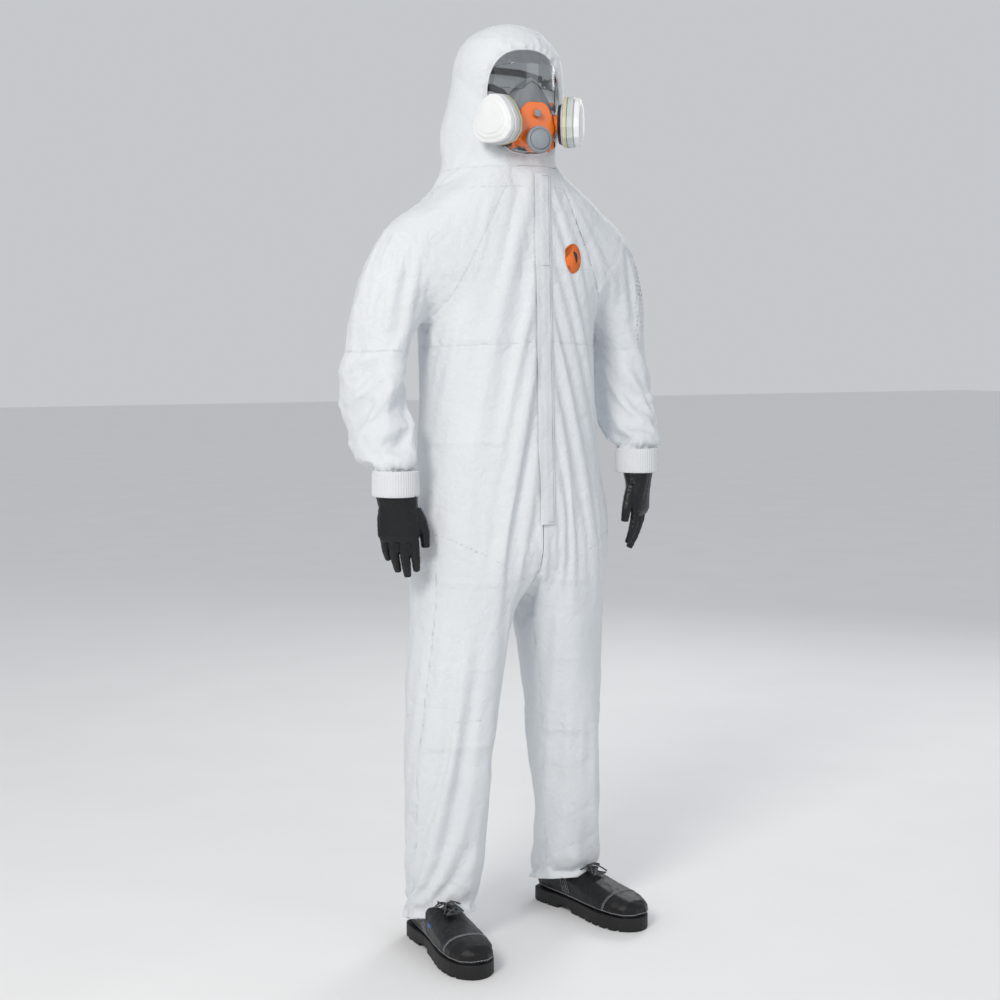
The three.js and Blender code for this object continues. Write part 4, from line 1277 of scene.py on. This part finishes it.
def make_straps():
    """The head webbing rises over the cartridges to the temples; the lower strap runs round the neck."""
    head_strap = refined("mask_head_strap", "webbing_head_strap", 0.0010, 3, webbing, "head")
    refined("mask_neck_strap", "webbing_neck_strap", 0.0010, 3, webbing, "head")
    points = coordinates(head_strap.data)
    y = points[:, 1]
    front = points[:, 1].min()
    points[:, 2] += 0.024 * ramp(y - front, 0.004, 0.04) * ramp(front + 0.13 - y, 0, 0.07)
    set_coordinates(head_strap.data, points)


def make_respirator():
    make_straps()
    refined("mask_facepiece", "soft_facepiece", 0.0014, 6, soft_rubber, "head")
    refined("mask_front_frame", "orange_front_frame", 0.0011, 5, orange_plastic, "head")
    out = from_head.to_3x3() @ Vector((0, -1, 0))
    low, high = head_box("exhale_valve_cover")
    at = head_point((low.x + high.x) / 2, high.y, (low.z + high.z) / 2)
    r, tall = (high.x - low.x) / 2, high.y - low.y
    cover = spun(
        [
            (0, 0), (r * 1.02, 0), (r * 1.08, tall * 0.12), (r * 1.08, tall * 0.5), (r, tall * 0.72),
            (r * 0.9, tall * 0.76), (r * 0.87, tall * 0.66), (r * 0.8, tall * 0.66), (r * 0.77, tall * 0.94),
            (r * 0.72, tall), (0, tall * 1.04),
        ],
        72,
    )
    for k in range(30):
        turn = Matrix.Rotation(math.tau * k / 30, 4, "Z")
        rounded_block(cover, (0.0018, 0.0012, tall * 0.5), turn @ Vector((r * 1.08, 0, tall * 0.34)), turn)
    for k in range(12):
        turn = Matrix.Rotation(math.tau * k / 12, 4, "Z")
        rounded_block(cover, (r * 0.1, 0.0011, 0.003), turn @ Vector((r * 0.83, 0, tall * 0.68)), turn)
    piece = turned(cover, "ribbed_valve_cover", at, out, grey_plastic, "head")
    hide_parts("exhale_valve_cover")
    for side, sign in SIDES.items():
        make_filter(side, sign)
    frame_low, frame_high = head_box("mask_front_frame")
    make_check_button(frame_low, out)
    make_yoke_clips(frame_low, frame_high)


def make_check_button(frame_low, out):
    button = bmesh.new()
    bmesh.ops.create_cone(button, cap_ends=True, segments=6, radius1=0.0088, radius2=0.0080, depth=0.005)
    soften_edges(button, button.edges[:], 0.0012, 3)
    button_at = head_point(0, frame_low.y + 0.0012, 1.699)
    turned(button, "check_button", button_at, out, grey_plastic, "head")


def make_yoke_clips(low, high):
    """Clips where the webbing meets the frame: orange bodies with grey inserts."""
    for side, sign in SIDES.items():
        for level, lean, reach in ((high.z - 0.006, 38, 0.044), (low.z + 0.016, -24, 0.040)):
            clip, insert = bmesh.new(), bmesh.new()
            turn = Matrix.Rotation(math.radians(lean) * -sign, 4, "Y")
            rounded_block(clip, (0.019, 0.007, 0.016), (0, 0, 0), turn, 0.0022)
            rounded_block(insert, (0.011, 0.003, 0.009), (0, -0.0042, 0), turn, 0.0008)
            place = "upper" if lean > 0 else "lower"
            forward = high.y - (0.012 if lean > 0 else 0.002)
            seat = from_head @ Matrix.Translation((reach * sign, forward, level))
            seat = seat @ Matrix.Rotation(0.5 * sign, 4, "Z")
            for shape, name, material, slot in (
                (clip, "yoke_clip", orange_plastic, "orange_plastic"),
                (insert, "yoke_insert", grey_plastic, "grey_plastic"),
            ):
                bmesh.ops.transform(shape, matrix=seat, verts=shape.verts)
                made = paint(from_bmesh(shape, f"{name}_{place}_{side}"), material)
                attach(made, "head")


def make_filter(side, sign):
    """A twist-on cartridge: black base, printed grey band, clear rim and a white prefilter cap."""
    tilt = math.radians(62)
    axis = from_head.to_3x3() @ Vector((math.sin(tilt) * sign, -math.cos(tilt), 0))
    base = node_mesh(f"cartridge_{side}")
    cap = node_mesh(f"filter_cap_{side}")
    along = [v.co.dot(axis) for v in base.verts]
    inner, outer = min(along), max(along)
    centre = sum((v.co for v in cap.verts), Vector()) / len(cap.verts)
    base.free()
    cap.free()
    shell = from_bmesh(node_mesh(f"cartridge_{side}"), f"cartridge_shell_{side}")
    add_skin(shell, 0.0016)
    add_easing(shell, 5)
    apply_modifiers(shell)
    shape = bmesh.new()
    shape.from_mesh(shell.data)
    tall = outer - inner
    levels = [0.36, 0.40, 0.52, 0.56, 0.60, 0.64, 0.78]
    for level in levels:
        bmesh.ops.bisect_plane(
            shape, geom=shape.verts[:] + shape.edges[:] + shape.faces[:], dist=1e-5,
            plane_co=axis * (inner + tall * level), plane_no=axis,
        )
    finishes = [0, 1, 1, 2, 1, 3, 1, 4]
    for f in shape.faces:
        at = (f.calc_center_median().dot(axis) - inner) / tall
        f.material_index = finishes[sum(at > level for level in levels)]
        f.smooth = True
    shape.to_mesh(shell.data)
    shape.free()
    paint(shell, black_plastic, light_grey_plastic, yellow_print, green_print, silicone)
    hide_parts(f"cartridge_{side}")
    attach(shell, f"filter_{side}")
    body = f"filter_{side}"
    cover = refined(
        f"filter_cap_{side}", f"prefilter_cap_{side}", 0.0013, 18, white_plastic, body
    )
    # a raised panel in the middle of the cap, on the cap's own outline
    panel = bmesh.new()
    panel.from_mesh(cover.data)
    top = max(v.co.dot(axis) for v in panel.verts)
    near_top = [f for f in panel.faces if f.calc_center_median().dot(axis) > top - 0.008]
    keep_faces(panel, [f for f in near_top if f.normal.dot(axis) > 0.6])
    for v in panel.verts:
        flat = v.co - centre
        flat -= axis * flat.dot(axis)
        v.co -= flat * 0.36
        v.co += axis * (top + 0.0018 - v.co.dot(axis)) * 0.9
    grown = bmesh.ops.extrude_face_region(panel, geom=panel.faces[:])
    bmesh.ops.translate(panel, vec=axis * -0.006, verts=verts_in(grown["geom"]))
    bmesh.ops.recalc_face_normals(panel, faces=panel.faces)
    raised_panel = paint(from_bmesh(panel, f"prefilter_panel_{side}"), white_plastic)
    add_easing(raised_panel, 10)
    apply_modifiers(raised_panel)
    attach(raised_panel, f"filter_{side}")


def make_spectacles():
    refined("spectacle_lens", "clear_lens", 0.0010, 4, clear_plastic, "head")
    for side, sign in SIDES.items():
        body = f"temple_{side}"
        refined(
            f"spectacle_temple_{side}", f"temple_arm_{side}", 0.0008, 3, black_plastic, body
        )
        at = pivot[f"temple_fold_{side}"]
        out = from_head.to_3x3() @ Vector((sign, 0, 0))
        disc = spun(
            [(0, 0), (0.0052, 0), (0.0058, 0.0006), (0.0058, 0.0022), (0.0052, 0.0028), (0, 0.0028)], 40
        )
        turned(disc, f"hinge_disc_{side}", at + out * 0.0012, out, orange_plastic, body)
        hub = spun([(0, 0), (0.0024, 0), (0.0026, 0.001), (0.002, 0.0014), (0, 0.0014)], 32)
        turned(hub, f"hinge_hub_{side}", at + out * 0.0040, out, black_plastic, body)


def stitched(piece, at, normal, where, name, body, radius=0.0006, lift=0.0006):
    """A row of stitching where a plane crosses a piece's outside."""
    shape = bmesh.new()
    shape.from_mesh(piece.data)
    faces = [f for f in shape.faces if where(f.calc_center_median()) and f.normal.length]
    geom = {g for f in faces for g in (f, *f.edges, *f.verts)}
    done = bmesh.ops.bisect_plane(
        shape, geom=list(geom), dist=1e-6, plane_co=at, plane_no=Vector(normal).normalized()
    )
    edges = edges_in(done["geom_cut"])
    shape.normal_update()
    for v in {v for e in edges for v in e.verts}:
        v.co += v.normal * lift
    dashes = []
    for points, _ in chains(edges):
        if len(points) > 5:
            dashes += [(points[i:i + 4], False) for i in range(0, len(points) - 3, 4)]
    shape.free()
    if not dashes:
        return
    row = link(piping(dashes, radius, name, ease=0), name)
    paint(row, thread)
    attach(row, body)


LACE_LOOP = (  # one loop of the bow: across, forward and up, as shares of its size
    (0, 0, 0), (0.35, 0.5, 0.9), (0.8, 0.7, 0.3), (1.05, 0.2, -0.5), (0.9, -0.3, -0.5), (0.45, -0.3, 0.5),
    (0, 0, 0),
)
LACE_END = ((0, 0, 0), (0.25, 0.3, 0.5), (0.55, 0.8, 0), (0.9, 1.2, -1.0))


def make_shoe(side, sign):
    body = f"foot_{side}"
    upper = refined(
        f"shoe_upper_{side}", f"leather_upper_{side}", 0.0019, 7, leather, body, 0.0006, 60.0
    )
    refined(f"shoe_sole_{side}", f"layered_sole_{side}", 0.0018, 3, sole_rubber, body)
    refined(f"shoe_laces_{side}", f"lace_rows_{side}", 0.0009, 3, lace_cord, body)
    low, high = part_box(f"shoe_sole_{side}")
    toe_out = math.radians(-4 if side == "right" else 11)
    forward = Vector((math.sin(toe_out) * sign * (1 if side == "left" else -1), -math.cos(toe_out), 0))
    across = Vector((-forward.y, forward.x, 0))
    middle = Vector(((low.x + high.x) / 2, (low.y + high.y) / 2, high.z))
    length = 0.31
    toe = middle + forward * length * 0.27
    for k, gap in enumerate((0, 0.0035)):
        stitched(
            upper, toe - forward * gap, forward + Vector((0, 0, -0.35)),
            lambda c: c.z > low.z + 0.036, f"toe_cap_stitch_{k}_{side}", body,
        )
    for k in range(4):
        stitched(
            upper, middle - forward * (0.022 + 0.007 * k), forward + Vector((0, 0, 0.45)),
            lambda c: low.z + 0.04 < c.z < low.z + 0.085, f"quarter_stitch_{k}_{side}", body, 0.0005,
        )
    stitched(
        upper, Vector((0, 0, low.z + 0.037)), (0, 0, 1), lambda c: True, f"welt_stitch_{side}", body, 0.0007,
    )
    # a small plain tag on the outer side
    tag = bmesh.new()
    rounded_block(tag, (0.0016, 0.012, 0.008), (0, 0, 0), None, 0.0004)
    spot = middle + across * (0.045 * (sign if forward.y < 0 else -sign)) - forward * 0.004
    tree = surface_of(upper)
    outwards = Vector((sign, 0, 0))
    hit = tree.ray_cast(Vector((spot.x + sign * 0.1, spot.y, low.z + 0.064)), -outwards)[0]
    if hit:
        bmesh.ops.transform(tag, matrix=Matrix.Translation(hit), verts=tag.verts)
        piece = paint(from_bmesh(tag, f"side_tag_{side}"), blue_tag)
        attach(piece, body)
    else:
        tag.free()
    # the bow: two loops and two ends lying over the top row
    lace_low, lace_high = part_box(f"shoe_laces_{side}")
    knot = Vector(((lace_low.x + lace_high.x) / 2, lace_low.y * 0.5 + lace_high.y * 0.5, lace_high.z))
    below = tree.ray_cast(knot + Vector((0, 0, 0.1)), Vector((0, 0, -1)))[0]
    knot.z = (below.z if below else lace_high.z) + 0.006
    runs = []
    for way in (-1, 1):
        loop = [
            knot + across * way * a * 0.026 + forward * (b * 0.016) + Vector((0, 0, c * 0.006))
            for a, b, c in LACE_LOOP
        ]
        end = [
            knot + across * way * a * 0.024 + forward * (b * 0.03) + Vector((0, 0, c * 0.008))
            for a, b, c in LACE_END
        ]
        runs += [(eased(loop), False), (eased(end), False)]
    bow = link(piping(runs, 0.0016, f"lace_bow_{side}", ease=1), f"lace_bow_{side}")
    shape = bmesh.new()
    shape.from_mesh(bow.data)
    rounded_block(shape, (0.007, 0.005, 0.005), knot, None, 0.0014)
    shape.to_mesh(bow.data)
    shape.free()
    paint(bow, lace_cord)
    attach(bow, body)


def eased(points, per=5):
    """A smooth run through some points."""
    out = []
    for i in range(len(points) - 1):
        p0, p1, p2, p3 = (points[max(0, min(len(points) - 1, i + k))] for k in (-1, 0, 1, 2))
        for step in range(per):
            t = step / per
            out.append(
                0.5 * ((2 * p1) + (p2 - p0) * t + (2 * p0 - 5 * p1 + 4 * p2 - p3) * t * t
                       + (3 * p1 - p0 - 3 * p2 + p3) * t ** 3)
            )
    return out + [points[-1]]


make_respirator()
make_spectacles()
for side_, sign_ in SIDES.items():
    make_cuff(side_)
    wrist = f"forearm_{side_}"
    refined(f"glove_{side_}", f"nitrile_glove_{side_}", 0.0013, 14, nitrile, wrist, 0.0006, 110.0)
    make_shoe(side_, sign_)

CARRIED = {
    "zip_tape_right": zip_cloth, "zip_tape_left": zip_cloth, "zip_teeth_right": zip_plastic,
    "zip_teeth_left": zip_plastic, "zip_slider": zip_plastic, "zip_pull": zip_plastic,
    "exhale_valve_disc": silicone, "inhale_valve_disc_right": silicone, "inhale_valve_disc_left": silicone,
}
for name_, material_ in CARRIED.items():
    paint(frame["nodes"][name_], material_, smooth=False)


# ---------------------------------------------------------------- floor and light

def make_stage():
    ground = bmesh.new()
    bmesh.ops.create_grid(ground, x_segments=1, y_segments=1, size=30)
    floor = from_bmesh(ground, "floor")
    material, tree, shader = finish_of("painted_floor", "#ececec", 0.75)
    grain = add(tree, "ShaderNodeTexNoise", {"Vector": object_place(tree), "Scale": 3.0, "Detail": 2.0})
    tree.links.new(mixed(tree, grain.outputs["Fac"], "#e9e9e9", "#efefef"), shader.inputs["Base Color"])
    paint(floor, material)


def light(name, at, aim, size, power, colour):
    data = bpy.data.lights.new(name, "AREA")
    data.shape, data.size, data.energy = "DISK", size, power
    data.color = linear(colour)[:3]
    lamp = link(data, name)
    lamp.location = at
    lamp.rotation_euler = (Vector(aim) - Vector(at)).to_track_quat("-Z", "Y").to_euler()


make_stage()
light("key", (-3.0, -2.2, 3.2), (0, 0, 1.2), 1.4, 96, "#fffaf4")
light("fill", (1.2, -4.2, 2.2), (0, 0, 1.0), 2.2, 14, "#f2f6ff")
light("rim", (2.6, 2.2, 2.8), (0, 0, 1.3), 1.4, 34, "#ffffff")
bpy.context.scene.view_settings.view_transform = "Standard"
world = bpy.data.worlds.new("studio")
bpy.context.scene.world = world
world.use_nodes = True
world.node_tree.nodes["Background"].inputs["Color"].default_value = linear("#f1f4f8")
world.node_tree.nodes["Background"].inputs["Strength"].default_value = 0.64
